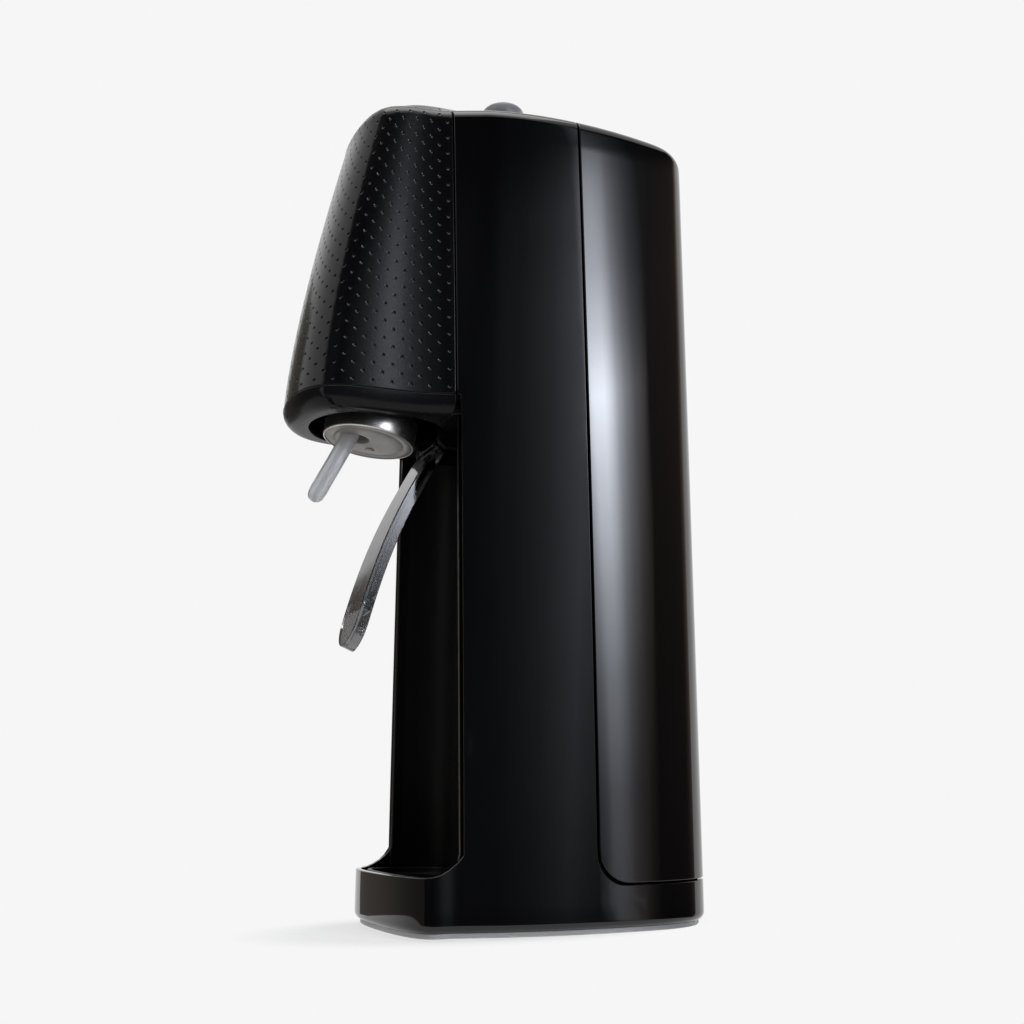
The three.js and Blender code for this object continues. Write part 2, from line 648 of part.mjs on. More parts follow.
function nozzleCarriage() {
  const bottom = GAP * 6 + SEAL_THICKNESS;
  const top = bottom + CARRIAGE_HEIGHT;
  const cup = disc(CARRIAGE_RADIUS, bottom, top - RING_HEIGHT, 0, 0);
  const hub = joined(...[-1, 1].map((side) => {
    const x = [side * EAR_INNER, side * EAR_OUTER].sort((a, b) => a - b);
    return joined(bar(EAR_RADIUS, x[0], x[1], PIVOT_BACK, PIVOT_UP),
      box(x[0], x[0] + EAR_OUTER - EAR_INNER, 0, PIVOT_BACK, PIVOT_UP - EAR_RADIUS * 1.6, PIVOT_UP));
  }));
  const bore = bar(HINGE_PIN_RADIUS + GAP, -EAR_OUTER - WALL, EAR_OUTER + WALL, PIVOT_BACK, PIVOT_UP);
  const well = disc(tubeHole, 0, bottom + HOLDER_HEIGHT * 1.25, 0, -TUBE_AHEAD, SMALL_SIDES);
  const sockets = bar(TRUNNION_RADIUS + GAP, -TRUNNION_REACH - GAP, TRUNNION_REACH + GAP,
    -TUBE_AHEAD, TUBE_PIVOT_UP);
  return cut(joined(cup, hub), bore, well, sockets);
}

function hingePin(side) {
  const x = [side * (EAR_INNER + GAP), side * (POST_INNER + POST_WIDTH)].sort((a, b) => a - b);
  return bar(HINGE_PIN_RADIUS, x[0], x[1], pivotWorld.y, pivotWorld.z);
}

// Tube frame: origin at the tube's pivot, tube along -Z

const tubePivot = new THREE.Vector3(0, -TUBE_AHEAD, TUBE_PIVOT_UP)
  .applyAxisAngle(new THREE.Vector3(1, 0, 0), tilt).add(nozzleCentre);

function carbonationTube() {
  const tip = -TUBE_PIVOT_UP - TUBE_LENGTH;
  const radius = TUBE_RADIUS;
  return turned([[0, tip], [radius * 0.55, tip + radius * 0.15], [radius * 0.85, tip + radius * 0.6],
    [radius, tip + radius * 1.4], [radius, TUBE_PIVOT_UP / 2], [0, TUBE_PIVOT_UP / 2]], 0, 0, SMALL_SIDES);
}

function tubeHolder() {
  const top = TUBE_PIVOT_UP / 2 + GAP;
  const sleeve = turned([[0, -TUBE_PIVOT_UP / 2], [HOLDER_RADIUS * 0.8, -TUBE_PIVOT_UP / 2],
    [HOLDER_RADIUS, 0], [HOLDER_RADIUS * 0.8, top + WALL], [0, top + WALL]], 0, 0, SMALL_SIDES);
  return joined(sleeve, bar(TRUNNION_RADIUS, -TRUNNION_REACH, TRUNNION_REACH, 0, 0, SMALL_SIDES / 2))
    .subtract(disc(TUBE_RADIUS + GAP / 2, -OVERRUN, top, 0, 0, SMALL_SIDES));
}

// Bottle lever, drawn hanging straight from its pivot at the origin

function leverSection(depth, width) {
  const spine = [];
  for (let i = 0; i <= LEVER_STEPS; i += 1) {
    const share = i / LEVER_STEPS;
    spine.push([-LEVER_BOW * Math.sin(Math.PI * share), -LEVER_LENGTH * share]);
  }
  const front = spine.map(([y, z]) => [y - depth / 2, z]);
  const rear = spine.map(([y, z]) => [y + depth / 2, z]).reverse();
  return sideways(outlineOf([...front, ...rear]), -width / 2, width / 2);
}

function bottleLever() {
  const body = leverSection(LEVER_RIB, LEVER_WIDTH);
  const tip = new THREE.Shape();
  tip.absarc(0, -LEVER_LENGTH + LEVER_WIDTH / 2, LEVER_WIDTH / 2, Math.PI, Math.PI * 2, false);
  tip.lineTo(LEVER_WIDTH / 2, 0);
  tip.lineTo(-LEVER_WIDTH / 2, 0);
  const trough = leverSection(LEVER_RIB, LEVER_WIDTH - LEVER_SKIN * 2);
  const pocket = trough.intersect(box(-LEVER_WIDTH, LEVER_WIDTH, -OVERRUN, OVERRUN,
    -LEVER_LENGTH + LEVER_PAD, -LEVER_BOSS_RADIUS * 2)).translate([0, LEVER_SKIN, 0]);
  const boss = bar(LEVER_BOSS_RADIUS, -LEVER_WIDTH / 2, LEVER_WIDTH / 2, 0, 0);
  const bore = bar(LEVER_PIN_RADIUS + GAP, -LEVER_WIDTH, LEVER_WIDTH, 0, 0);
  return cut(joined(cut(body.intersect(facing(tip, -OVERRUN, OVERRUN)), pocket), boss), bore);
}

function leverPin() {
  const half = LEVER_WIDTH / 2 + GAP * 2 + LUG_WALL;
  return bar(LEVER_PIN_RADIUS, -half, half, ahead(LEVER_PIVOT_AHEAD), LEVER_PIVOT_HEIGHT);
}

// Button and actuator

const collarTop = CREST - WALL - COLLAR_SINK + COLLAR_HEIGHT;
const capTop = collarTop + BUTTON_HEIGHT - WALL;
const capBottom = capTop - BUTTON_HEIGHT;

function buttonCap() {
  const y = behind(BUTTON_BEHIND);
  const inner = BUTTON_RADIUS - WALL * 0.8;
  return turned([[0, capTop - WALL], [inner, capTop - WALL], [inner, capBottom], [BUTTON_RADIUS, capBottom],
    [BUTTON_RADIUS, capTop - WALL], [BUTTON_RADIUS - WALL * 0.3, capTop - WALL * 0.3],
    [BUTTON_RADIUS - WALL, capTop], [0, capTop]], 0, y);
}

function buttonCollar() {
  const y = behind(BUTTON_BEHIND);
  const inner = BUTTON_RADIUS + GAP;
  const outer = inner + COLLAR_WALL - GAP;
  const floor = collarTop - COLLAR_HEIGHT;
  const hole = ROD_RADIUS + GAP;
  return turned([[hole, floor - WALL], [outer, floor - WALL], [outer, collarTop - WALL / 2],
    [outer - WALL / 2, collarTop], [inner, collarTop], [inner, floor], [hole, floor],
    [hole, floor - WALL]], 0, y);
}

const actuatorTop = ACTUATOR_HEIGHT + ACTUATOR_THICKNESS / 2;
const rodBottom = actuatorTop + ROD_GAP;

const buttonRod = () => disc(ROD_RADIUS, rodBottom, capTop - WALL - GAP,
  0, behind(BUTTON_BEHIND), SMALL_SIDES);

class Helix extends THREE.Curve {
  constructor(radius, turns, bottom, top, y) {
    super();
    Object.assign(this, { radius, turns, bottom, top, y });
  }

  getPoint(t, target = new THREE.Vector3()) {
    const angle = Math.PI * 2 * this.turns * t;
    return target.set(this.radius * Math.cos(angle), this.y + this.radius * Math.sin(angle),
      this.bottom + (this.top - this.bottom) * t);
  }
}

function buttonSpring() {
  const bottom = collarTop - COLLAR_HEIGHT + SPRING_WIRE + GAP;
  const top = capTop - WALL - SPRING_WIRE - GAP;
  const radius = (ROD_RADIUS + BUTTON_RADIUS) / 2;
  const helix = new Helix(radius, SPRING_TURNS, bottom, top, behind(BUTTON_BEHIND));
  return sweep(helix, SPRING_WIRE, SPRING_TURNS * COIL_STEPS, WIRE_SIDES);
}

function actuatorLever() {
  const half = ACTUATOR_WIDTH / 2;
  const front = behind(BUTTON_BEHIND - ACTUATOR_WIDTH / 2);
  const rear = behind(AXLE_BEHIND);
  const radius = ACTUATOR_THICKNESS;
  const beam = box(-half, half, front, rear, ACTUATOR_HEIGHT - ACTUATOR_THICKNESS / 2, actuatorTop);
  return joined(beam, bar(radius, -half, half, rear, ACTUATOR_HEIGHT))
    .subtract(bar(AXLE_RADIUS + GAP, -half - WALL, half + WALL, rear, ACTUATOR_HEIGHT));
}

function leverAxle() {
  const half = ACTUATOR_WIDTH / 2 + GAP * 2 + LUG_WALL;
  return bar(AXLE_RADIUS, -half, half, behind(AXLE_BEHIND), ACTUATOR_HEIGHT);
}

function gasBlock() {
  const half = BLOCK_SIZE / 2;
  const y = behind(CYLINDER_BEHIND);
  const ears = [-1, 1].map((side) => {
    const inner = ACTUATOR_WIDTH / 2 + GAP * 2;
    const x = [side * inner, side * (inner + LUG_WALL)].sort((a, b) => a - b);
    const axle = behind(AXLE_BEHIND);
    return cut(box(x[0], x[1], axle - EAR_RADIUS, axle + EAR_RADIUS, BLOCK_TOP - WALL,
      ACTUATOR_HEIGHT + EAR_RADIUS),
      bar(AXLE_RADIUS + GAP, x[0] - WALL, x[1] + WALL, axle, ACTUATOR_HEIGHT));
  });
  const reach = AXLE_SETBACK + EAR_RADIUS;
  return cut(joined(box(-half, half, y - half, y + reach, BLOCK_BOTTOM, BLOCK_TOP), ...ears),
    disc(VALVE_RADIUS + GAP, BLOCK_BOTTOM - WALL, VALVE_TOP + GAP, 0, y),
    disc(VALVE_PIN_RADIUS + GAP, BLOCK_BOTTOM - WALL, BLOCK_TOP + WALL, 0, y, SMALL_SIDES));
}

const valvePin = () => disc(VALVE_PIN_RADIUS, VALVE_TOP + ROD_GAP + BUTTON_TRAVEL / 2,
  ACTUATOR_HEIGHT - ACTUATOR_THICKNESS / 2 - ROD_GAP, 0, behind(CYLINDER_BEHIND), SMALL_SIDES);

function reliefValve() {
  const x = BLOCK_SIZE / 2 + GAP;
  const y = behind(CYLINDER_BEHIND);
  const z = (BLOCK_BOTTOM + BLOCK_TOP) / 2;
  return joined(bar(RELIEF_RADIUS, x, x + RELIEF_LENGTH, y, z),
    bar(RELIEF_RADIUS * 0.6, x + RELIEF_LENGTH, x + RELIEF_LENGTH * 1.4, y, z));
}

// From the block's front, level past the chassis, then down onto the hinge post
function gasHose() {
  const start = new THREE.Vector3(BLOCK_SIZE / 3, behind(CYLINDER_BEHIND) - BLOCK_SIZE / 2 - GAP,
    BLOCK_TOP - HOSE_RADIUS * 1.5);
  const over = new THREE.Vector3(start.x, behind(CHASSIS_BEHIND) - HOSE_RADIUS * 3, start.z);
  const end = new THREE.Vector3(POST_INNER + HOSE_RADIUS, pivotWorld.y + HOSE_RADIUS,
    pivotWorld.z + EAR_RADIUS + GAP);
  const above = end.clone().add(new THREE.Vector3(0, 0, HOSE_RADIUS * 6));
  return sweep(new THREE.CatmullRomCurve3([start, over, above, end]), HOSE_RADIUS, HOSE_STEPS, HOSE_SIDES);
}

// Gas cylinder, its seat and the chassis

function gasCylinder() {
  const y = behind(CYLINDER_BEHIND);
  const r = CYLINDER_RADIUS;
  const w = CYLINDER_WALL;
  const dome = (inset) => {
    const points = [];
    for (let i = 0; i <= ROUND_STEPS + 1; i += 1) {
      const angle = Math.PI / 2 * i / (ROUND_STEPS + 1);
      points.push([NECK_RADIUS - inset + (r - NECK_RADIUS) * Math.cos(angle),
        CYLINDER_SHOULDER + DOME_HEIGHT * Math.sin(angle) - inset / 2]);
    }
    return points;
  };
  const outer = [[0, CYLINDER_BOTTOM + w], [r * 0.6, CYLINDER_BOTTOM + w], [r * 0.75, CYLINDER_BOTTOM],
    [r - w, CYLINDER_BOTTOM], [r, CYLINDER_BOTTOM + w * 2], ...dome(0), [NECK_RADIUS, CYLINDER_TOP]];
  const bore = VALVE_RADIUS - w;
  const inner = [[bore, CYLINDER_TOP], [bore, CYLINDER_TOP - NECK_RADIUS - w],
    ...dome(w).reverse().slice(1), [r - w, CYLINDER_BOTTOM + w * 3], [0, CYLINDER_BOTTOM + w * 2.4]];
  return turned([...outer, ...inner], 0, y);
}

function cylinderValve() {
  const y = behind(CYLINDER_BEHIND);
  const low = CYLINDER_TOP + GAP;
  const stem = VALVE_RADIUS - CYLINDER_WALL - GAP;
  return turned([[VALVE_BORE, low - VALVE_RADIUS], [stem, low - VALVE_RADIUS], [stem, low],
    [NECK_RADIUS, low], [NECK_RADIUS, low + WALL * 2], [VALVE_RADIUS, low + WALL * 2],
    [VALVE_RADIUS, VALVE_TOP], [VALVE_BORE, VALVE_TOP], [VALVE_BORE, low - VALVE_RADIUS]],
  0, y, SMALL_SIDES);
}

function cylinderCradle() {
  const y = behind(CYLINDER_BEHIND);
  const bottom = PLATE_TOP + GAP;
  const inner = CYLINDER_RADIUS + GAP * 3;
  const floor = CYLINDER_BOTTOM - GAP;
  return turned([[0, bottom], [inner + CRADLE_WALL, bottom], [inner + CRADLE_WALL, bottom + CRADLE_HEIGHT],
    [inner, bottom + CRADLE_HEIGHT], [inner, floor], [0, floor]], 0, y);
}

function chassis() {
  const front = CHASSIS_BEHIND;
  const rear = CYLINDER_BEHIND + BLOCK_SIZE / 2;
  const back = box(-CHASSIS_HALF_WIDTH, CHASSIS_HALF_WIDTH, behind(front), behind(front + CHASSIS_WALL),
    PLATE_TOP + GAP, SHELF_HEIGHT + SHELF_THICKNESS);
  const shelf = box(-CHASSIS_HALF_WIDTH, CHASSIS_HALF_WIDTH, behind(front), behind(rear),
    SHELF_HEIGHT, SHELF_HEIGHT + SHELF_THICKNESS);
  return cut(joined(back, shelf),
    disc(NECK_RADIUS + WALL, SHELF_HEIGHT - WALL, SHELF_HEIGHT + OVERRUN, 0, behind(CYLINDER_BEHIND)));
}

function baseScrew(x, y) {
  const low = PLATE_BOTTOM + GAP;
  const neck = PLATE_BOTTOM + PLATE_THICKNESS / 2 - GAP;
  const high = PLATE_BOTTOM + SCREW_LENGTH;
  return turned([[0, low], [SCREW_HEAD_RADIUS, low], [SCREW_HEAD_RADIUS, neck], [SCREW_RADIUS, neck],
    [SCREW_RADIUS, high], [0, high]], x, y, SMALL_SIDES);
}

// Assembly

add('housing', housing(), glossBlack);
add('front_panel', frontPanel(), glossBlack);
add('rear_cover', rearCover(), glossBlack);
add('head_underside', headUnderside(), darkGrey);
add('bay_liner', bayLiner(), glossBlack);
add('base_plate', basePlate(), darkGrey);
add('drip_tray', dripTray(), glossBlack);
footPlaces().forEach(([name, x, y]) => add(name, foot(x, y), rubber));

const nozzle = new THREE.Group();
nozzle.position.copy(nozzleCentre);
nozzle.rotation.x = tilt;
part.add(nozzle);
add('steel_ring', steelRing(), steel, nozzle);
add('bottle_seal', bottleSeal(), paleSeal, nozzle);
add('nozzle_carriage', nozzleCarriage(), darkGrey, nozzle);
add('hinge_pin_left', hingePin(1), steel);
add('hinge_pin_right', hingePin(-1), steel);

const tube = new THREE.Group();
tube.position.copy(tubePivot);
tube.rotation.x = radians(-TUBE_LEAN);
part.add(tube);
add('carbonation_tube', carbonationTube(), clearWhite, tube);
add('tube_holder', tubeHolder(), darkGrey, tube);

const lever = new THREE.Group();
lever.position.set(0, ahead(LEVER_PIVOT_AHEAD), LEVER_PIVOT_HEIGHT);
lever.rotation.x = radians(-LEVER_LEAN);
part.add(lever);
add('bottle_lever', bottleLever(), clearGrey, lever);
add('lever_pin', leverPin(), steel);

add('button_cap', buttonCap(), midGrey);
add('button_collar', buttonCollar(), darkGrey);
add('button_rod', buttonRod(), midGrey);
add('button_spring', buttonSpring(), steel);
add('actuator_lever', actuatorLever(), steel);
add('lever_axle', leverAxle(), steel);
add('gas_block', gasBlock(), aluminium);
add('valve_pin', valvePin(), steel);
add('relief_valve', reliefValve(), brass);
add('gas_hose', gasHose(), darkGrey);
add('gas_cylinder', gasCylinder(), aluminium);
add('cylinder_valve', cylinderValve(), brass);
add('cylinder_cradle', cylinderCradle(), darkGrey);
add('chassis', chassis(), darkGrey);
screwPlaces().forEach(([x, y], i) => add(`base_screw_${i + 1}`, baseScrew(x, y), steel));

export default part;
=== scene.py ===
import math

import bmesh
import bpy
from mathutils import Matrix, Vector


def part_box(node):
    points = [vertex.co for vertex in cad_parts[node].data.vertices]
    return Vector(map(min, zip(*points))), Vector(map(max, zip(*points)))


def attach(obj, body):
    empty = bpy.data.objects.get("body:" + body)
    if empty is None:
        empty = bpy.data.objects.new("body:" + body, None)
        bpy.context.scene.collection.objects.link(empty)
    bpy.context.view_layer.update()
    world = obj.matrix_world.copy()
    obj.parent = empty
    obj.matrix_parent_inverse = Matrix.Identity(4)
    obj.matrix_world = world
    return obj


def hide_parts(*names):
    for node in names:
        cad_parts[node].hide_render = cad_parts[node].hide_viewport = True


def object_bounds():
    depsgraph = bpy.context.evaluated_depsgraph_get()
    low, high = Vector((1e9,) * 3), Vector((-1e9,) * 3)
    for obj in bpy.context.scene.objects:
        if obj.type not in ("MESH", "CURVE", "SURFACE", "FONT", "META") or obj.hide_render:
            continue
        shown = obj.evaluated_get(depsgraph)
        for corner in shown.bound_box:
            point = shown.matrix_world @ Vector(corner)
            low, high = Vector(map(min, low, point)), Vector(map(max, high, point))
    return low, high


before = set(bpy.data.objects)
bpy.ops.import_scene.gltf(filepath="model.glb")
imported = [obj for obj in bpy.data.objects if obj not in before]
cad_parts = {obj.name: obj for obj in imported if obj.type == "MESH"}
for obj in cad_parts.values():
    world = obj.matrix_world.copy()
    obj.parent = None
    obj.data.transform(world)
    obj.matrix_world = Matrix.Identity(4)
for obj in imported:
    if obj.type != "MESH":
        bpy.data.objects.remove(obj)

# Places and sizes are in millimetres until a vertex is placed. "Behind" counts
# from the front edges of the bay's side walls, as in the frame's solids.
CAD_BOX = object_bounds()
MM = 0.001

# Camera, as the photograph was taken: position, turn from +Y, rise, roll and lens
CAMERA_PLACE = (543.66, -235.28, 61.64)
CAMERA_YAW = math.radians(65.078)
CAMERA_PITCH = math.radians(14.041)
CAMERA_ROLL = math.radians(-0.354)
CAMERA_LENS = 40.06
CAMERA_SENSOR = 36.0

# The body's driving sizes
WIDTH = 132
WIDTH_BULGE = 1.2
SHOULDER_HEIGHT = 420
CROWN = 24
TOP_SLOPE = 0.08
LEVEL_BEHIND = 59.5
NOSE_DROOP = 9
DROOP_AHEAD = 14
HEAD_REACH = 81.5
TOP_REACH = 50.5
BASE_REACH = 30.5
BACK_BEHIND = 134.5
HEAD_BOTTOM = 247
LIP_HEIGHT = 10
LIP_ROUND = 6
LIP_TUCK = 5
TRAY_RIM = 27
SKIRT_BOTTOM = 3
SKIRT_ROUND = 4
WALL = 2.6
GAP = 0.3
SEAM_GAP = 0.8
WIDEST_BEHIND = 71.5
WIDEST_DRIFT = 27.7
FLANK_RADIUS = 128.7
BACK_POWER = 2.84
NOSE_SIDE_SHARE = 0.42
NOSE_FRONT_SHARE = 1.17
HEAD_FLARE_POWER = 1.6
SHOULDER_ROUND = 9
CROWN_POWER = 1.6
FRONT_SEAM_AHEAD = 6.9
REAR_SEAM_BEHIND = 55.8
COVER_BOTTOM = 22
COVER_CORNER = 15
FAR_AWAY = 600

# The bottle bay
BAY_WALL_AHEAD = 2
BAY_EDGE_FLARE = 3.2
BAY_EDGE_START = 60
BAY_SWEEP = 21
BAY_DEPTH = 20
BAY_TAPER = 4.2
BAY_CORNER = 14
LINER_WALL = 2.3
LINER_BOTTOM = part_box("bay_liner")[0].z / MM
LINER_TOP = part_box("bay_liner")[1].z / MM
TRAY_INSET = 6
TRAY_WALL = 2

# The bay's walls start in this plane
BAY_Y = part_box("front_panel")[1].y / MM + FRONT_SEAM_AHEAD + SEAM_GAP / 2
PANEL_BOTTOM = HEAD_BOTTOM + LIP_HEIGHT
ROLLED_EDGE = 0.55
PANEL_FOOT = PANEL_BOTTOM + GAP + ROLLED_EDGE
PANEL_WALL = WALL + 2 * GAP
PANEL_TONGUE = 3
SHOULDER_START = SHOULDER_HEIGHT - SHOULDER_ROUND

# Dimples over the front panel, staggered in columns along its seam
DIMPLE_COLUMN = 4.8
DIMPLE_PITCH = 4.5
DIMPLE_RADIUS = 1.05
DIMPLE_FLOOR = 0.6
DIMPLE_DEPTH = 0.45
DIMPLE_MARGIN = 1.2
DIMPLE_FOOT = 0.8
DIMPLE_DRAW = 1.5

# Nozzle, lever and button, as the frame carries them
NOZZLE_PLACE = (0, BAY_Y - 37.5, HEAD_BOTTOM - 2.5)
NOZZLE_TILT = 9
RING_HEIGHT = 9
SLOT_RADIUS = 29
SLOT_FRONT_AHEAD = 69
SLOT_REAR_AHEAD = -2
TUBE_PLACE = (0, BAY_Y - 42.67, 253.42)
TUBE_LEAN = 26.9
TUBE_RADIUS = 4.4
TUBE_LENGTH = 52.5
LEVER_PLACE = (0, BAY_Y - 1, HEAD_BOTTOM - 5)
LEVER_LEAN = 22.5
LEVER_LENGTH = 118
LEVER_WIDTH = 27
LEVER_BOW = 5
LEVER_DEPTH = 6.5
LEVER_SKIN = 2.2
LEVER_LEAD = 5
LEVER_STEPS = 20
TIP_STEPS = 12
LEVER_PAD = 24
LEVER_BOSS = 4.6
LUG_WALL = 3.9
BUTTON_BEHIND = 39.5

# More of the head and the nozzle
CROWN_RUN = 78
CROWN_ROWS = 10
LIP_STEPS = 12
LINER_STEPS = 18
TRAY_CLEAR_HEIGHT = 117
TRAY_STEP = 3
TRAY_SIDE_SLOPE = 0.4
TRAY_LEDGE = TRAY_WALL * 0.8
TRAY_LEDGE_DROP = 0.3
TRAY_FLOOR_SLOPE = 0.6
RING_SHOWN = 23.8
RING_LIP = 0.9
RING_HANG = 4.2
SEAL_TOP = 5
SEAL_HOLE = 6.4
SEAL_BOSS = (-10, 4, 0)
TUBE_AHEAD = 6.5
TUBE_BORE = 1
TUBE_TOP = 4
LEVER_BORE = 2
POST_INNER = 31.5
POST_WIDTH = 4
POST_ROUND = 5
NECK_RADIUS = 12
CYLINDER_WALL = 1.5
CYLINDER_FLOOR = 5
NECK_BORE_MARGIN = 1.7
DOME_HEIGHT = 20
VALVE_STEM = 5.7
VALVE_BORE = 2.2
CRADLE_WALL = 3

# Fineness of the pieces
BACK_STEPS = 26
FLANK_STEPS = 12
NOSE_STEPS = 26
ROUND_STEPS = 8
BODY_STEPS, HEAD_STEPS = 13, 14
TURN_STEPS = 72
CURVE_STEPS = 40
MERGE = 1e-6
SHORT_EDGE = 0.12 * MM
ROLL_STEPS = 3
SHARP_ANGLE = math.radians(58)


def behind(distance):
    return BAY_Y + distance


# Studio

def add_camera():
    """The camera stands low at the machine's left side and looks up at it."""
    data = bpy.data.cameras.new("camera")
    data.lens = CAMERA_LENS
    data.sensor_width = CAMERA_SENSOR
    data.clip_start = 0.01
    camera = linked("camera", data)
    ahead = Vector((-math.sin(CAMERA_YAW) * math.cos(CAMERA_PITCH),
                    math.cos(CAMERA_YAW) * math.cos(CAMERA_PITCH), math.sin(CAMERA_PITCH)))
    level = Vector((math.cos(CAMERA_YAW), math.sin(CAMERA_YAW), 0))
    over = level.cross(ahead)
    right = math.cos(CAMERA_ROLL) * level + math.sin(CAMERA_ROLL) * over
    up = math.cos(CAMERA_ROLL) * over - math.sin(CAMERA_ROLL) * level
    turn = Matrix((right, up, -ahead)).transposed().to_4x4()
    camera.matrix_world = Matrix.Translation(Vector(CAMERA_PLACE) * MM) @ turn
    bpy.context.scene.camera = camera


PALE = (0.92, 0.92, 0.92, 1)
ROOM_LIGHT = (0.7, 0.71, 0.72, 1)
FLOOR_RADIUS = 126
FLOOR_NARROWING = 1.7
SHADOW_RADII = (0.09, 0.124)
SHADOW_SHARE = 0.3

# The lamp's places in metres
LAMP_PLACE, LAMP_AIM = (0.3, -0.2, 2.6), (0, 0, 0.2)
LAMP_SIZE = (1.4, 1.4)
LAMP_WATTS = 14
LAMP_COLOUR = (1, 0.99, 0.97)


def linked(name, data):
    """A new object of some data, put into the scene."""
    obj = bpy.data.objects.new(name, data)
    bpy.context.scene.collection.objects.link(obj)
    return obj


def mesh_object(name, mesh, material):
    data = bpy.data.meshes.new(name)
    mesh.to_mesh(data)
    mesh.free()
    data.materials.append(material)
    return linked(name, data)


def sums(tree, operation, first, second):
    """A math node whose inputs are outputs of other nodes or plain numbers."""
    node = tree.nodes.new("ShaderNodeMath")
    node.operation = operation
    for socket, value in zip(node.inputs, (first, second)):
        if isinstance(value, (int, float)):
            socket.default_value = value
        else:
            tree.links.new(value, socket)
    return node.outputs[0]


def respread(tree, value, limits):
    """A value spread from its first two limits to the last two."""
    node = tree.nodes.new("ShaderNodeMapRange")
    for socket, limit in zip(("From Min", "From Max", "To Min", "To Max"), limits):
        node.inputs[socket].default_value = limit
    tree.links.new(value, node.inputs["Value"])
    return node.outputs["Result"]


def seen_directly(tree):
    """A factor that is 1 for what the camera sees by itself, in gloss and through glass."""
    path = tree.nodes.new("ShaderNodeLightPath")
    total = path.outputs["Is Camera Ray"]
    for name in ("Is Glossy Ray", "Is Transmission Ray"):
        total = sums(tree, "MAXIMUM", total, path.outputs[name])
    return total


def add_world():
    """Pale to the eye, in gloss and through glass, and plain and even as light."""
    world = bpy.data.worlds.new("room")
    world.use_nodes = True
    tree = world.node_tree
    shown = tree.nodes.new("ShaderNodeMix")
    shown.data_type = "RGBA"
    tree.links.new(seen_directly(tree), shown.inputs["Factor"])
    shown.inputs["A"].default_value = ROOM_LIGHT
    shown.inputs["B"].default_value = PALE
    tree.links.new(shown.outputs["Result"], tree.nodes["Background"].inputs["Color"])
    bpy.context.scene.world = world


def card(name, colour):
    """Even card that shows its own colour, whatever light falls on it."""
    material = bpy.data.materials.new(name)
    material.use_nodes = True
    tree = material.node_tree
    tree.nodes.remove(tree.nodes["Principled BSDF"])
    glow = tree.nodes.new("ShaderNodeEmission")
    glow.inputs["Color"].default_value = colour
    tree.links.new(glow.outputs[0], tree.nodes["Material Output"].inputs["Surface"])
    return material


def shadow_paper():
    """The floor's pale card, which keeps the shadow near the machine and fades into the background."""
    material = card("pale_card", PALE)
    tree = material.node_tree
    matt = tree.nodes.new("ShaderNodeBsdfDiffuse")
    matt.inputs["Color"].default_value = PALE
    distance = tree.nodes.new("ShaderNodeVectorMath")
    distance.operation = "LENGTH"
    widened = tree.nodes.new("ShaderNodeVectorMath")
    widened.operation = "MULTIPLY"
    widened.inputs[1].default_value = (FLOOR_NARROWING, 1, 1)
    tree.links.new(tree.nodes.new("ShaderNodeTexCoord").outputs["Object"], widened.inputs[0])
    tree.links.new(widened.outputs[0], distance.inputs[0])
    fade = respread(tree, distance.outputs["Value"], (*SHADOW_RADII, SHADOW_SHARE, 0))
    both = tree.nodes.new("ShaderNodeMixShader")
    tree.links.new(fade, both.inputs["Fac"])
    tree.links.new(tree.nodes["Emission"].outputs[0], both.inputs[1])
    tree.links.new(matt.outputs[0], both.inputs[2])
    tree.links.new(both.outputs[0], tree.nodes["Material Output"].inputs["Surface"])
    return material


def add_stage(name, mesh, material):
    obj = mesh_object(name, mesh, material)
    return obj


def add_floor():
    mesh = bmesh.new()
    bmesh.ops.create_circle(mesh, cap_ends=True, segments=64, radius=FLOOR_RADIUS * MM)
    bmesh.ops.scale(mesh, verts=mesh.verts, vec=(1 / FLOOR_NARROWING, 1, 1))
    add_stage("floor", mesh, shadow_paper())


def add_lamp():
    """A soft square lamp above the machine, turned to it."""
    data = bpy.data.lights.new("overhead", "AREA")
    data.shape = "RECTANGLE"
    data.size, data.size_y = LAMP_SIZE
    data.energy = LAMP_WATTS
    data.color = LAMP_COLOUR
    lamp = linked("overhead", data)
    lamp.location = LAMP_PLACE
    lamp.rotation_euler = (Vector(LAMP_AIM) - Vector(LAMP_PLACE)).to_track_quat("-Z", "Y").to_euler()


# Mesh making

def ring(z, reach, inset=0, share=1, height=None):
    """The body's outline at a height, drawn in by an inset measured square to it."""
    height = z if height is None else height
    right = half_outline(z, reach)
    loop = right + [(-x, d) for x, d in right[-2:0:-1]]
    middle = (BACK_BEHIND - reach) / 2
    points = []
    for i, (x, distance) in enumerate(loop):
        before, after = loop[i - 1], loop[(i + 1) % len(loop)]
        along = Vector((after[0] - before[0], after[1] - before[1])).normalized()
        x += along.y * inset
        distance -= along.x * inset
        x, distance = x * share, (distance - middle) * share + middle
        points.append(Vector((x, behind(distance), height + lift(distance, height))) * MM)
    return points


def half_width(z):
    rise = z / SHOULDER_HEIGHT
    return WIDTH / 2 + WIDTH_BULGE * 4 * rise * (1 - rise)


def widest(z):
    return WIDEST_BEHIND + WIDEST_DRIFT * z / SHOULDER_HEIGHT


def flank_width(distance, z):
    return half_width(z) * math.sqrt(1 - ((widest(z) - distance) / FLANK_RADIUS) ** 2)


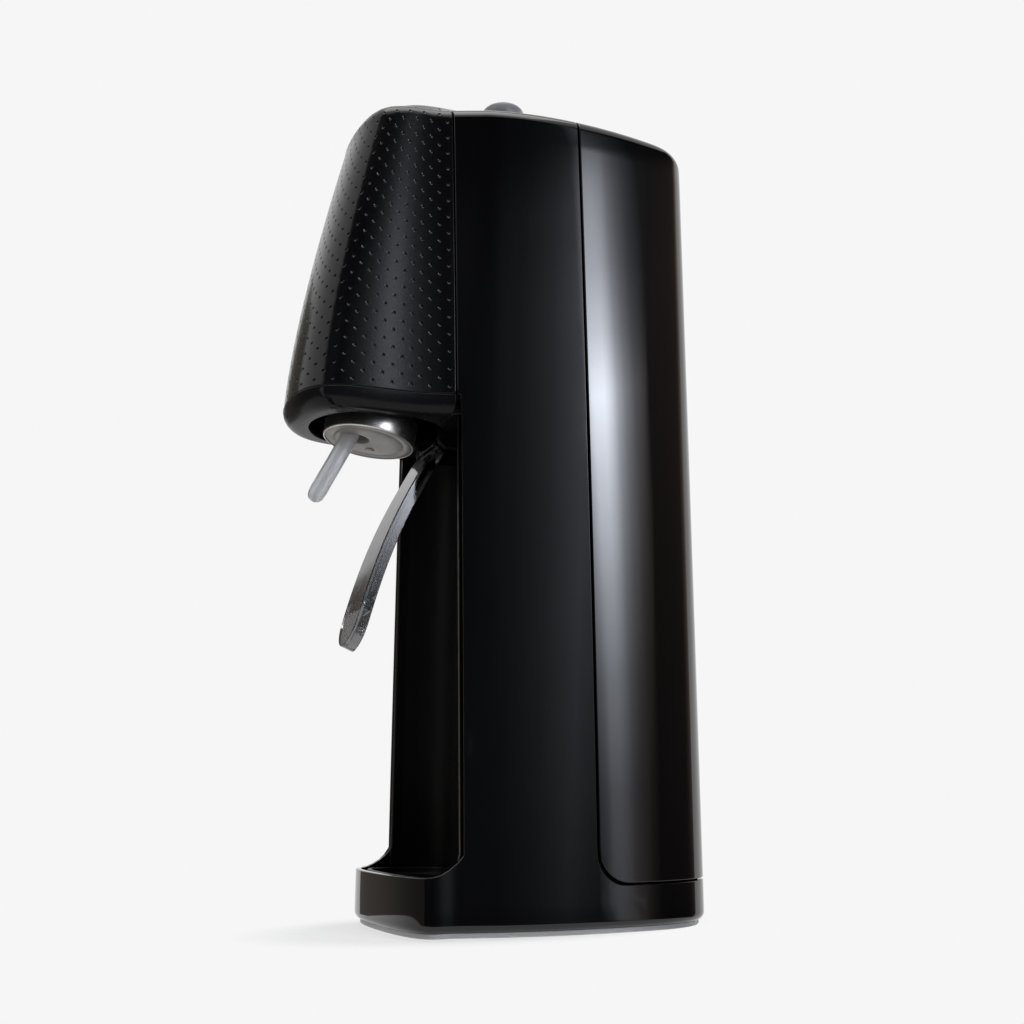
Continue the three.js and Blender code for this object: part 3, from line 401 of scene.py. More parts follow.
def half_outline(z, reach):
    """Right half of the outline, from the back's middle round to the nose's tip."""
    points = []
    for i in range(BACK_STEPS + 1):
        angle = math.pi / 2 * (1 - i / BACK_STEPS)
        points.append((half_width(z) * max(0, math.cos(angle)) ** (2 / BACK_POWER) if i else 0,
                       widest(z) + (BACK_BEHIND - widest(z)) * math.sin(angle) ** (2 / BACK_POWER)))
    cover = REAR_SEAM_BEHIND + SEAM_GAP
    stations = [widest(z) + (cover - widest(z)) * i / 4 for i in range(1, 5)]
    stations += [REAR_SEAM_BEHIND * (1 - i / FLANK_STEPS) for i in range(FLANK_STEPS - 1)]
    points += [(flank_width(d, z), d) for d in stations + [-FRONT_SEAM_AHEAD]]
    nose = nose_curve(z, reach)
    points += [nose(i / NOSE_STEPS) for i in range(1, NOSE_STEPS + 1)]
    return points


def nose_curve(z, reach):
    """The nose from the front seam to its tip, as a function of a share from 0 to 1."""
    side = flank_width(-FRONT_SEAM_AHEAD, z)
    back = widest(z) + FRONT_SEAM_AHEAD
    lean = side * back / (FLANK_RADIUS ** 2 - back ** 2)
    handle = NOSE_SIDE_SHARE * (reach - FRONT_SEAM_AHEAD)
    ends = [Vector((side, -FRONT_SEAM_AHEAD)), Vector((side - lean * handle, -FRONT_SEAM_AHEAD - handle)),
            Vector((side * NOSE_FRONT_SHARE, -reach)), Vector((0, -reach))]

    def at(t):
        weights = ((1 - t) ** 3, 3 * (1 - t) ** 2 * t, 3 * (1 - t) * t ** 2, t ** 3)
        return tuple(sum((w * p for w, p in zip(weights, ends)), Vector((0, 0))))
    return at


def head_reach(z):
    rise = max(0, (z - HEAD_BOTTOM) / (SHOULDER_HEIGHT - HEAD_BOTTOM))
    return HEAD_REACH - (HEAD_REACH - TOP_REACH) * rise ** HEAD_FLARE_POWER


def lift(distance, height):
    """The top slopes up to the front and droops at the nose, by a share that grows over the head."""
    grown = min(1, max(0, (height - PANEL_BOTTOM) / (SHOULDER_START - PANEL_BOTTOM)))
    nose = max(0, -distance - DROOP_AHEAD) / (TOP_REACH - DROOP_AHEAD)
    return (TOP_SLOPE * (LEVEL_BEHIND - distance) - NOSE_DROOP * nose ** 2) * grown


def shoulder_rings():
    """Rings of the rounded shoulder and of the crown, which close on one point."""
    rings, reach = [], head_reach(SHOULDER_START)
    for i in range(1, ROUND_STEPS + 1):
        angle = math.pi / 2 * i / ROUND_STEPS
        rings.append(ring(SHOULDER_START, reach, SHOULDER_ROUND * (1 - math.cos(angle)), 1,
                          SHOULDER_START + SHOULDER_ROUND * math.sin(angle)))
    crown_steps = ROUND_STEPS * 2
    for i in range(1, crown_steps + 1):
        share = 1 - i / crown_steps
        rings.append(ring(SHOULDER_START, reach, SHOULDER_ROUND, share,
                          SHOULDER_HEIGHT + CROWN * (1 - share ** CROWN_POWER)))
    return rings


def tower_rings():
    skirt_top = SKIRT_BOTTOM + SKIRT_ROUND
    rings = []
    for i in range(ROUND_STEPS):
        angle = math.pi / 2 * i / ROUND_STEPS
        rings.append(ring(skirt_top, BASE_REACH, SKIRT_ROUND * (1 - math.sin(angle)), 1,
                          SKIRT_BOTTOM + SKIRT_ROUND * (1 - math.cos(angle))))
    neck, sweep = HEAD_BOTTOM - 2 * WALL, TRAY_RIM + BAY_SWEEP
    heights = [skirt_top, (skirt_top + COVER_BOTTOM) / 2, COVER_BOTTOM, COVER_BOTTOM + SEAM_GAP, TRAY_RIM,
               (TRAY_RIM + sweep) / 2]
    heights += [sweep + (neck - sweep) * i / BODY_STEPS for i in range(BODY_STEPS + 1)]
    rings += [ring(z, BASE_REACH) for z in heights]
    for i in range(HEAD_STEPS + 1):
        z = HEAD_BOTTOM + (SHOULDER_START - HEAD_BOTTOM) * i / HEAD_STEPS
        rings.append(ring(z, head_reach(z)))
    return rings + shoulder_rings()


def merge(mesh, distance=MERGE):
    bmesh.ops.remove_doubles(mesh, verts=mesh.verts, dist=distance)


def face_out(mesh):
    bmesh.ops.recalc_face_normals(mesh, faces=mesh.faces)


def grid_over(rows, closed=True):
    """A grid whose vertices are moved onto rows of points, and joined at its ends if closed."""
    mesh = bmesh.new()
    across = len(rows[0]) if closed else len(rows[0]) - 1
    up = len(rows) - 1
    bmesh.ops.create_grid(mesh, x_segments=across, y_segments=up, size=1)
    for vert in mesh.verts:
        i = round((vert.co.x + 1) / 2 * across) % len(rows[0])
        j = round((vert.co.y + 1) / 2 * up)
        vert.co = rows[j][i]
    merge(mesh)
    face_out(mesh)
    return mesh


def planes_inside(outline):
    """Planes along an outline in Y and Z, each facing what lies on the line's left."""
    planes = []
    for (y0, z0), (y1, z1) in zip(outline, outline[1:]):
        planes.append((Vector((0, y0, z0)) * MM, Vector((0, z0 - z1, y1 - y0)).normalized()))
    return planes


def keep_inside(mesh, planes):
    for place, facing in planes:
        bmesh.ops.bisect_plane(mesh, geom=mesh.verts[:] + mesh.edges[:] + mesh.faces[:],
                               plane_co=place, plane_no=facing, clear_inner=True)


def carve(mesh, planes):
    """Takes away what lies inside all the planes, cutting only what is still inside."""
    inside = mesh.faces[:]
    for place, facing in planes:
        edges = {edge for face in inside for edge in face.edges}
        verts = {vert for face in inside for vert in face.verts}
        found = bmesh.ops.bisect_plane(mesh, geom=[*verts, *edges, *inside], plane_co=place,
                                       plane_no=facing)
        faces = {f for f in found["geom"] if isinstance(f, bmesh.types.BMFace)} | set(inside)
        inside = [f for f in faces if f.is_valid and (f.calc_center_median() - place).dot(facing) > 0]
    bmesh.ops.delete(mesh, geom=inside, context="FACES")


def arc(y, z, radius, start, end):
    """Points on an arc in Y and Z, by angles in degrees from +Y to +Z."""
    angles = [math.radians(start + (end - start) * i / ROUND_STEPS) for i in range(ROUND_STEPS + 1)]
    return [(y + radius * math.cos(a), z + radius * math.sin(a)) for a in angles]


def cover_region(margin):
    seam, low = behind(REAR_SEAM_BEHIND + margin), COVER_BOTTOM + margin
    return planes_inside([(seam, FAR_AWAY)]
                         + arc(seam + COVER_CORNER, low + COVER_CORNER, COVER_CORNER, 180, 270)
                         + [(behind(FAR_AWAY), low)])


def bay_region(margin):
    """The space in front of the bay's side walls, with its sweep down to the tray rim."""
    wall, rim = behind(margin - BAY_WALL_AHEAD), TRAY_RIM - margin
    flare = []
    for i in range(1, ROUND_STEPS + 1):
        share = i / ROUND_STEPS
        flare.append((wall - BAY_EDGE_FLARE * share ** 2,
                      BAY_EDGE_START + (HEAD_BOTTOM - BAY_EDGE_START) * share))
    return planes_inside([(behind(-FAR_AWAY), rim)]
                         + arc(wall - BAY_SWEEP, rim + BAY_SWEEP, BAY_SWEEP, 270, 360)
                         + [(wall, BAY_EDGE_START)] + flare
                         + [(wall - BAY_EDGE_FLARE, PANEL_BOTTOM), (behind(-FAR_AWAY), PANEL_BOTTOM)])


def front_region(margin, z):
    seam = behind(-FRONT_SEAM_AHEAD - margin)
    return planes_inside([(behind(-FAR_AWAY), z), (seam, z), (seam, FAR_AWAY)])


def round_hole(radius, y, z):
    """Upright planes round a circle, and one below, that face its inside."""
    planes = [(Vector((0, 0, z)) * MM, Vector((0, 0, 1)))]
    for i in range(TURN_STEPS // 2):
        angle = 4 * math.pi * i / TURN_STEPS
        out = Vector((math.cos(angle), math.sin(angle), 0))
        planes.append(((Vector((0, y, 0)) + out * radius) * MM, -out))
    return planes


def turned(profile):
    """A closed turned form about Z, from radius and height pairs."""
    mesh = bmesh.new()
    verts = [mesh.verts.new((r * MM, 0, z * MM)) for r, z in profile]
    edges = [mesh.edges.new(pair) for pair in zip(verts, verts[1:])]
    bmesh.ops.spin(mesh, geom=verts + edges, axis=(0, 0, 1), cent=(0, 0, 0), angle=2 * math.pi,
                   steps=TURN_STEPS, use_merge=True)
    merge(mesh)
    face_out(mesh)
    return mesh


def rounded(profile, radius, steps=3):
    """The same profile with a small arc at each inner corner."""
    points = [profile[0]]
    for before, corner, after in zip(profile, profile[1:], profile[2:]):
        here = Vector(corner)
        sides = [Vector(p) - here for p in (before, after)]
        cut = min(radius, *(s.length * 0.45 for s in sides))
        starts = [here + s.normalized() * cut for s in sides]
        for i in range(steps + 1):
            t = i / steps
            points.append(tuple((1 - t) ** 2 * starts[0] + 2 * t * (1 - t) * here + t ** 2 * starts[1]))
    return points + [profile[-1]]


def rolled(mesh, radius, depth, tongue):
    """Rolls a sheet's border outwards over a radius, then down by a depth and out by a tongue."""
    bmesh.ops.remove_doubles(mesh, verts=[v for v in mesh.verts if v.is_boundary], dist=radius * MM / 2)
    mesh.normal_update()
    frames = {}
    for vert in [v for v in mesh.verts if v.is_boundary]:
        out = Vector()
        for loop in [e.link_loops[0] for e in vert.link_edges if e.is_boundary]:
            out += (loop.link_loop_next.vert.co - loop.vert.co).cross(loop.face.normal)
        frames[vert] = (vert.co.copy(), out.normalized(), vert.normal.copy())
    smooth = {}
    for vert, (place, out, up) in frames.items():
        nearby = [frames[e.other_vert(vert)] for e in vert.link_edges if e.is_boundary]
        smooth[vert] = (place, sum((n[1] for n in nearby), out * 2).normalized(),
                        sum((n[2] for n in nearby), up * 2).normalized())
    frames = smooth
    border = [e for e in mesh.edges if e.is_boundary]
    shifts = [(radius / 8, 0)]
    for i in range(1, ROLL_STEPS + 1):
        angle = math.pi / 2 * i / ROLL_STEPS
        shifts.append((radius * math.sin(angle), radius * (1 - math.cos(angle))))
    shifts.append((radius, radius + depth))
    if tongue:
        shifts.append((radius + tongue, radius + depth))
    for outward, down in shifts:
        new = bmesh.ops.extrude_edge_only(mesh, edges=border)["geom"]
        border = [g for g in new if isinstance(g, bmesh.types.BMEdge) and g.is_boundary]
        fresh = {}
        for vert in [g for g in new if isinstance(g, bmesh.types.BMVert)]:
            origin = next(e.other_vert(vert) for e in vert.link_edges if e.other_vert(vert) in frames)
            place, out, up = fresh[vert] = frames[origin]
            vert.co = place + (out * outward - up * down) * MM
        frames = fresh


def outwards(mesh):
    """Turns a sheet over if it mostly faces the tower's middle."""
    middle = (CAD_BOX[0] + CAD_BOX[1]) / 2
    if sum(f.normal.dot(f.calc_center_median() - middle) * f.calc_area() for f in mesh.faces) < 0:
        bmesh.ops.reverse_faces(mesh, faces=mesh.faces)


def moved(mesh, place, lean=0):
    """Turns a mesh back about X by degrees and sets it at a place in millimetres."""
    matrix = Matrix.Translation(Vector(place) * MM) @ Matrix.Rotation(math.radians(-lean), 4, "X")
    bmesh.ops.transform(mesh, matrix=matrix, verts=mesh.verts)
    return mesh


def piece(name, mesh, body, finish, nodes=(), wall=0, roll=0, tongue=0):
    """Makes the mesh a smooth piece of a body, a sheet's edges rolled into its wall, a solid's bevelled."""
    if wall:
        rolled(mesh, roll, wall - roll, tongue)
    for face in mesh.faces:
        face.smooth = True
    material, slot = finish
    obj = mesh_object(name, mesh, material)
    if roll and not wall:
        bevel = obj.modifiers.new("roll", "BEVEL")
        bevel.width = roll * MM
        bevel.segments = ROLL_STEPS
        bevel.angle_limit = SHARP_ANGLE
        bevel.use_clamp_overlap = False
        bevel.harden_normals = True
    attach(obj, body)
    if nodes:
        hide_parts(*nodes)


# Finishes

# Most of a noise's values lie in this span
NOISE_SPAN = (0.3, 0.7)


def noise(tree, source, scale, detail, stretch=(1, 1, 1)):
    nodes, links = tree.nodes, tree.links
    mapping = nodes.new("ShaderNodeMapping")
    mapping.inputs["Scale"].default_value = stretch
    links.new(source, mapping.inputs["Vector"])
    field = nodes.new("ShaderNodeTexNoise")
    field.inputs["Scale"].default_value = scale
    field.inputs["Detail"].default_value = detail
    links.new(mapping.outputs["Vector"], field.inputs["Vector"])
    return field.outputs["Fac"]


def surface(name, slot, colours, roughness, grain=(900, 3), bump=0.0, patch=(18, 2), stretch=(1, 1, 1),
            **sockets):
    """A finish whose colour drifts in patches and whose roughness and relief follow a fine grain."""
    material = bpy.data.materials.new(name)
    material.use_nodes = True
    tree = material.node_tree
    nodes, links = tree.nodes, tree.links
    shader = nodes["Principled BSDF"]
    source = nodes.new("ShaderNodeTexCoord").outputs["Object"]
    ramp = nodes.new("ShaderNodeValToRGB")
    for element, position, colour in zip(ramp.color_ramp.elements, NOISE_SPAN, colours):
        element.position, element.color = position, (*colour, 1)
    links.new(noise(tree, source, *patch), ramp.inputs["Fac"])
    links.new(ramp.outputs["Color"], shader.inputs["Base Color"])
    fine = noise(tree, source, *grain, stretch)
    links.new(respread(tree, fine, (*NOISE_SPAN, *roughness)), shader.inputs["Roughness"])
    if bump:
        relief = nodes.new("ShaderNodeBump")
        relief.inputs["Strength"].default_value = bump
        relief.inputs["Distance"].default_value = 0.05 * MM
        links.new(fine, relief.inputs["Height"])
        links.new(relief.outputs["Normal"], shader.inputs["Normal"])
    for socket, value in sockets.items():
        shader.inputs[socket.replace("_", " ")].default_value = value
    return material, slot


GLOSS = surface("polished_black", "gloss_black", [(0.0022, 0.0022, 0.0026), (0.0035, 0.0035, 0.004)],
                (0.035, 0.07), grain=(60, 4), patch=(9, 2))
PANEL_BLACK = surface("dimpled_black", "gloss_black", [(0.0022, 0.0022, 0.0026), (0.0035, 0.0035, 0.004)],
                      (0.15, 0.2), grain=(900, 4), patch=(9, 2), bump=0.03, Specular_IOR_Level=0.4)
LINER = surface("inner_black", "gloss_black", [(0.006, 0.006, 0.0065), (0.009, 0.009, 0.01)],
                (0.34, 0.44), grain=(300, 4), bump=0.05, Specular_IOR_Level=0.22)
UNDERSIDE = surface("underside_black", "dark_grey", [(0.006, 0.006, 0.007), (0.01, 0.01, 0.011)],
                    (0.2, 0.28), grain=(500, 3), bump=0.06, Specular_IOR_Level=0.14)
SATIN = surface("satin_dark_plastic", "dark_grey", [(0.03, 0.031, 0.033), (0.045, 0.046, 0.049)],
                (0.35, 0.48), grain=(1500, 3), bump=0.3)
FRAME_GREY = surface("moulded_frame_plastic", "dark_grey", [(0.035, 0.036, 0.038), (0.06, 0.061, 0.064)],
                     (0.45, 0.6), grain=(1100, 4), bump=0.4)
# The base plate's pale grey is a painted reflection: it stands in for the pale floor mirrored along the
# base's lower edge.
BASE_PLATE_PAINTED_REFLECTION = surface("base_plate_painted_floor_reflection", "dark_grey", [(0.34, 0.34, 0.345), (0.42, 0.42, 0.425)],
                (0.35, 0.5), grain=(900, 3), bump=0.2)
BUTTON = surface("button_plastic", "button_grey", [(0.27, 0.275, 0.285), (0.33, 0.335, 0.345)],
                 (0.3, 0.42), grain=(1600, 3), bump=0.2)
STEEL = surface("turned_steel", "steel", [(0.5, 0.49, 0.47), (0.68, 0.67, 0.65)], (0.26, 0.38),
                grain=(260, 5), bump=0.15, patch=(60, 3), stretch=(1, 1, 14), Metallic=1.0)
DRAWN_STEEL = surface("drawn_steel", "steel", [(0.42, 0.42, 0.43), (0.6, 0.6, 0.6)], (0.2, 0.34),
                      grain=(1400, 3), bump=0.15, Metallic=1.0)
RUBBER = surface("foot_rubber", "rubber", [(0.02, 0.02, 0.02), (0.04, 0.04, 0.04)], (0.7, 0.9),
                 grain=(1800, 4), bump=0.6)
SEAL = surface("pale_silicone", "pale_seal", [(0.2, 0.185, 0.165), (0.28, 0.262, 0.24)], (0.35, 0.5),
               grain=(900, 4), bump=0.25, patch=(90, 4))
MILKY = surface("milky_tube", "clear_white", [(0.86, 0.87, 0.88), (0.92, 0.93, 0.94)], (0.3, 0.42),
                grain=(400, 3), bump=0.03, Transmission_Weight=0.45, IOR=1.35)
SMOKE = surface("smoke_clear", "clear_grey", [(0.15, 0.15, 0.155), (0.21, 0.21, 0.215)], (0.06, 0.12),
                grain=(120, 3), bump=0.05, Transmission_Weight=1.0, IOR=1.45)
ALUMINIUM = surface("satin_aluminium", "aluminium", [(0.46, 0.47, 0.48), (0.6, 0.61, 0.62)],
                    (0.28, 0.42), grain=(420, 5), bump=0.2, stretch=(1, 1, 9), Metallic=1.0)
BRASS = surface("machined_brass", "brass", [(0.55, 0.4, 0.14), (0.7, 0.53, 0.22)], (0.2, 0.34),
                grain=(420, 4), bump=0.15, stretch=(1, 1, 12), Metallic=1.0)


def refinish(finish, *nodes):
    """Gives CAD nodes that stay in view their finish."""
    for name in nodes:
        for slot in bpy.data.objects[name].material_slots:
            slot.material = finish[0]


# Casing

def add_housing():
    mesh = grid_over(tower_rings())
    outwards(mesh)
    carve(mesh, cover_region(-ROLLED_EDGE))
    carve(mesh, bay_region(ROLLED_EDGE))
    carve(mesh, front_region(-ROLLED_EDGE, HEAD_BOTTOM - LIP_HEIGHT))
    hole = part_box("button_collar")[1].x / MM + GAP + ROLLED_EDGE
    carve(mesh, round_hole(hole, behind(BUTTON_BEHIND), SHOULDER_HEIGHT))
    merge(mesh, SHORT_EDGE)
    piece("housing_shell", mesh, "frame", GLOSS, ["housing"], WALL, ROLLED_EDGE)


def add_rear_cover():
    mesh = grid_over(tower_rings())
    outwards(mesh)
    keep_inside(mesh, cover_region(SEAM_GAP + ROLLED_EDGE))
    merge(mesh, SHORT_EDGE)
    piece("rear_cover_shell", mesh, "rear_cover", GLOSS, ["rear_cover"], WALL, ROLLED_EDGE)


def panel_row(run):
    """The head's outline a run up from the panel's lower edge, over its side, shoulder and crown."""
    side = SHOULDER_START - PANEL_FOOT
    turn = SHOULDER_ROUND * math.pi / 2
    z = height = min(PANEL_FOOT + run, SHOULDER_START)
    inset, share = 0, 1
    if run > side:
        angle = min(1, (run - side) / turn) * math.pi / 2
        inset = SHOULDER_ROUND * (1 - math.cos(angle))
        height = SHOULDER_START + SHOULDER_ROUND * math.sin(angle)
    if run > side + turn:
        share = 1 - (run - side - turn) / CROWN_RUN
        height = SHOULDER_HEIGHT + CROWN * (1 - share ** CROWN_POWER)
    nose = nose_curve(z, head_reach(z))
    middle = (BACK_BEHIND - head_reach(z)) / 2
    line = [Vector(nose(i / CURVE_STEPS)) for i in range(CURVE_STEPS + 1)]
    points, lengths = [], [0]
    for i, point in enumerate(line):
        along = (line[min(i + 1, CURVE_STEPS)] - line[max(i - 1, 0)]).normalized()
        x, distance = (point.x + along.y * inset) * share, point.y - along.x * inset
        distance = (distance - middle) * share + middle
        points.append(Vector((x, behind(distance), height + lift(distance, height))))
        lengths.append(lengths[-1] + (line[min(i + 1, CURVE_STEPS)] - point).length)
    return points, lengths[:-1]


PANEL_ROWS = {}


def panel_point(across, run, full):
    """Where a flat panel's point lies on the head, its columns drawn together towards the nose."""
    key = round(run, 3)
    if key not in PANEL_ROWS:
        PANEL_ROWS[key] = panel_row(key)
    points, lengths = PANEL_ROWS[key]
    mirrored = across > full / 2
    length = full - across if mirrored else across
    length -= (full / 2 - lengths[-1]) * max(0, length / (full / 2)) ** DIMPLE_DRAW
    length = min(max(length, 0), lengths[-1])
    i = next(k for k in range(1, CURVE_STEPS + 1) if lengths[k] >= length - MERGE)
    point = points[i - 1].lerp(points[i], (length - lengths[i - 1]) / (lengths[i] - lengths[i - 1]))
    return Vector((-point.x if mirrored else point.x, point.y, point.z))


def drawn_out(mesh, place, step):
    """Draws the border edges that lie at a place along the step's axis out by the step."""
    axis = 0 if step.x else 1
    edges = [e for e in mesh.edges if e.is_boundary
             and all(abs(v.co[axis] - place) < MERGE * 1000 for v in e.verts)]
    new = bmesh.ops.extrude_edge_only(mesh, edges=edges)["geom"]
    bmesh.ops.translate(mesh, verts=[g for g in new if isinstance(g, bmesh.types.BMVert)], vec=step)


def pitted_sheet(full, top):
    """A flat sheet in millimetres with staggered round pits, to be wrapped over the head."""
    columns = 2 * round((full / 2 - DIMPLE_MARGIN) / DIMPLE_COLUMN)
    rows = int((top - DIMPLE_FOOT) / DIMPLE_PITCH)
    column, pitch = (full - 2 * DIMPLE_MARGIN) / columns, (top - DIMPLE_FOOT) / rows
    mesh = bmesh.new()
    bmesh.ops.create_grid(mesh, x_segments=2 * columns, y_segments=2 * rows, size=1)
    for vert in mesh.verts:
        i, j = round((vert.co.x + 1) * columns), round((vert.co.y + 1) * rows)
        vert.co = (DIMPLE_MARGIN + i * column / 2, DIMPLE_FOOT + j * pitch / 2, 0)
    chosen = []
    for face in mesh.faces:
        centre = face.calc_center_median()
        i, j = int((centre.x - DIMPLE_MARGIN) / column), int((centre.y - DIMPLE_FOOT) / pitch)
        if (i + j) % 2 == 0:
            chosen.append(face)
    pits = bmesh.ops.dissolve_faces(mesh, faces=chosen)["region"]
    for radius, depth in ((DIMPLE_RADIUS * 1.15, 0), (DIMPLE_RADIUS, 0), (DIMPLE_FLOOR, DIMPLE_DEPTH * 0.8)):
        bmesh.ops.inset_individual(mesh, faces=pits, thickness=0.1)
        for face in pits:
            centre = face.calc_center_bounds()
            for vert in face.verts:
                out = (vert.co - centre) * Vector((1, 1, 0))
                vert.co = (centre.x, centre.y, -depth)
                vert.co += out.normalized() * radius
    for vert in bmesh.ops.poke(mesh, faces=pits)["verts"]:
        vert.co.z = -DIMPLE_DEPTH
    drawn_out(mesh, DIMPLE_FOOT, Vector((0, -DIMPLE_FOOT, 0)))
    for i in range(CROWN_ROWS):
        step = CROWN_RUN / 2 / CROWN_ROWS
        drawn_out(mesh, top + i * step, Vector((0, step, 0)))
    drawn_out(mesh, DIMPLE_MARGIN, Vector((-DIMPLE_MARGIN, 0, 0)))
    drawn_out(mesh, full - DIMPLE_MARGIN, Vector((DIMPLE_MARGIN, 0, 0)))
    return mesh


def add_front_panel():
    """The dimpled panel: a pitted sheet wrapped over the head and trimmed at the seam."""
    full = 2 * panel_row(0)[1][-1]
    top = SHOULDER_START - PANEL_FOOT + SHOULDER_ROUND * math.pi / 2
    mesh = pitted_sheet(full, top)
    step = 0.2
    for vert in mesh.verts:
        flat = vert.co.copy()
        place = panel_point(flat.x, flat.y, full)
        if flat.z < 0:
            along = panel_point(flat.x + step, flat.y, full) - panel_point(flat.x - step, flat.y, full)
            up = panel_point(flat.x, flat.y + step, full) - panel_point(flat.x, flat.y - step, full)
            place -= along.cross(up).normalized() * flat.z
        vert.co = place * MM
    merge(mesh)
    face_out(mesh)
    outwards(mesh)
    keep_inside(mesh, front_region(SEAM_GAP / 2 + ROLLED_EDGE, PANEL_BOTTOM)[1:])
    piece("dimpled_front_panel", mesh, "frame", PANEL_BLACK, ["front_panel"], PANEL_WALL,
          ROLLED_EDGE, PANEL_TONGUE)


def faced(mesh, direction):
    """Turns a sheet over if it mostly faces away from a direction."""
    if sum(face.normal.dot(Vector(direction)) * face.calc_area() for face in mesh.faces) < 0:
        bmesh.ops.reverse_faces(mesh, faces=mesh.faces)


def filled(points):
    """One flat face inside a loop of points."""
    mesh = bmesh.new()
    mesh.faces.new([mesh.verts.new(point) for point in points])
    return mesh


def absorb(mesh, other):
    """Adds another mesh's faces and lets it go."""
    data = bpy.data.meshes.new("part")
    other.to_mesh(data)
    other.free()
    mesh.from_mesh(data)
    bpy.data.meshes.remove(data)


def slot_region():
    """Upright planes round the opening that the nozzle hangs in."""
    planes = []
    steps = TURN_STEPS // 2
    for i in range(steps + 1):
        angle = math.pi * i / steps
        for centre, sign in ((-SLOT_FRONT_AHEAD + SLOT_RADIUS, -1), (-SLOT_REAR_AHEAD - SLOT_RADIUS, 1)):
            out = Vector((math.cos(angle), sign * math.sin(angle), 0))
            place = Vector((0, behind(centre), 0)) + out * (SLOT_RADIUS + ROLLED_EDGE)
            planes.append((place * MM, -out))
    return planes


def add_head_underside():
    """The rounded lip and the plate behind it, with the long opening for the nozzle."""
    rows = []
    for i in range(LIP_STEPS + 1):
        angle = math.pi / 2 * (1 - i / LIP_STEPS)
        drawn = 1 - math.sin(angle)
        rows.append(ring(HEAD_BOTTOM, HEAD_REACH - LIP_TUCK * drawn, LIP_ROUND * drawn, 1,
                         HEAD_BOTTOM + (LIP_HEIGHT - ROLLED_EDGE) * (1 - math.cos(angle))))
    mesh = grid_over(rows)
    absorb(mesh, filled(rows[-1]))
    merge(mesh)
    face_out(mesh)
    keep_inside(mesh, front_region(SEAM_GAP / 2 + ROLLED_EDGE, PANEL_BOTTOM)[1:])
    tongue = filled(ring(HEAD_BOTTOM, HEAD_REACH, WALL + GAP))
    seam, back = behind(-FRONT_SEAM_AHEAD - SEAM_GAP / 2), behind(BAY_DEPTH + LINER_WALL)
    keep_inside(tongue, planes_inside([(seam, FAR_AWAY), (seam, -FAR_AWAY)])
                + planes_inside([(back, -FAR_AWAY), (back, FAR_AWAY)]))
    for sheet in (mesh, tongue):
        carve(sheet, slot_region())
        faced(sheet, (0, 0, -1))
    absorb(mesh, tongue)
    piece("head_lip", mesh, "frame", UNDERSIDE, ["head_underside"], WALL, ROLLED_EDGE)


def bay_plan(margin, z, height=None):
    """The bay's plan from its front on one side round the back to the other, as in the frame."""
    front = BAY_WALL_AHEAD + BAY_EDGE_FLARE
    side = flank_width(-front, z) - WALL * 1.2 - 2 * GAP - LINER_WALL + margin
    rear, back, corner = side - BAY_TAPER, BAY_DEPTH + margin, BAY_CORNER + margin
    turn = Vector((rear + (side - rear) * corner / back, back - corner))
    half = [Vector((side, -front)), Vector((side, -front / 2))]
    half += [Vector((side, 0)).lerp(turn, i / FLANK_STEPS) for i in range(FLANK_STEPS)]
    for i in range(ROUND_STEPS + 1):
        t = i / ROUND_STEPS
        half.append((1 - t) ** 2 * turn + 2 * t * (1 - t) * Vector((rear, back))
                    + t ** 2 * Vector((rear - corner, back)))
    right = half + [Vector(((rear - corner) * (1 - i / 4), back)) for i in range(1, 5)]
    plan = right + [Vector((-p.x, p.y)) for p in right[-2::-1]]
    return [Vector((p.x, behind(p.y), z if height is None else height)) * MM for p in plan]


def add_bay_liner():
    low, high = bay_plan(0, LINER_BOTTOM), bay_plan(0, LINER_TOP)
    rows = [[a.lerp(b, i / LINER_STEPS) for a, b in zip(low, high)] for i in range(LINER_STEPS + 1)]
    mesh = grid_over(rows, closed=False)
    carve(mesh, bay_region(ROLLED_EDGE))
    merge(mesh, SHORT_EDGE)
    faced(mesh, (0, -1, 0))
    piece("bottle_bay", mesh, "frame", LINER, ["bay_liner"], LINER_WALL, ROLLED_EDGE)


def add_drip_tray():
    """A shallow basin with a rolled rim and a step inside for the cup."""
    low, high = (value.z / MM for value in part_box("drip_tray"))
    mesh = filled(ring(SKIRT_BOTTOM + SKIRT_ROUND, BASE_REACH, TRAY_INSET, 1, low))
    plan = bay_plan(-GAP, TRAY_CLEAR_HEIGHT, low)
    for a, b in zip(plan, plan[1:]):
        keep_inside(mesh, [(a, Vector((a.y - b.y, b.x - a.x, 0)).normalized())])
    merge(mesh, SHORT_EDGE * 8)
    top = raised(mesh, mesh.faces[:], Vector((0, 0, high - low)))
    for inset, drop in ((TRAY_WALL, 0), (TRAY_SIDE_SLOPE, TRAY_STEP), (TRAY_LEDGE, TRAY_LEDGE_DROP),
                        (TRAY_FLOOR_SLOPE, high - low - TRAY_STEP - TRAY_WALL)):
        bmesh.ops.inset_region(mesh, faces=top, thickness=inset * MM)
        bmesh.ops.translate(mesh, verts=list({v for f in top for v in f.verts}), vec=(0, 0, -drop * MM))
    face_out(mesh)
    piece("drip_tray_basin", mesh, "tray", LINER, ["drip_tray"], 0, ROLLED_EDGE)


def raised(mesh, faces, step):
    """Extrudes faces by a step in millimetres and gives the moved ones."""
    new = bmesh.ops.extrude_face_region(mesh, geom=faces)["geom"]
    bmesh.ops.translate(mesh, verts=[g for g in new if isinstance(g, bmesh.types.BMVert)], vec=step * MM)
    return [g for g in new if isinstance(g, bmesh.types.BMFace)]


def slab(points, step):
    """A flat loop of points raised by a step in millimetres."""
    mesh = filled(points)
    raised(mesh, mesh.faces[:], Vector(step))
    face_out(mesh)
    return mesh


def turned_size(node):
    """The radius, foot and top of a turned node, in millimetres."""
    low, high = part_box(node)
    return high.x / MM, low.z / MM, high.z / MM


def middle_y(node):
    low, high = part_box(node)
    return (low.y + high.y) / MM / 2


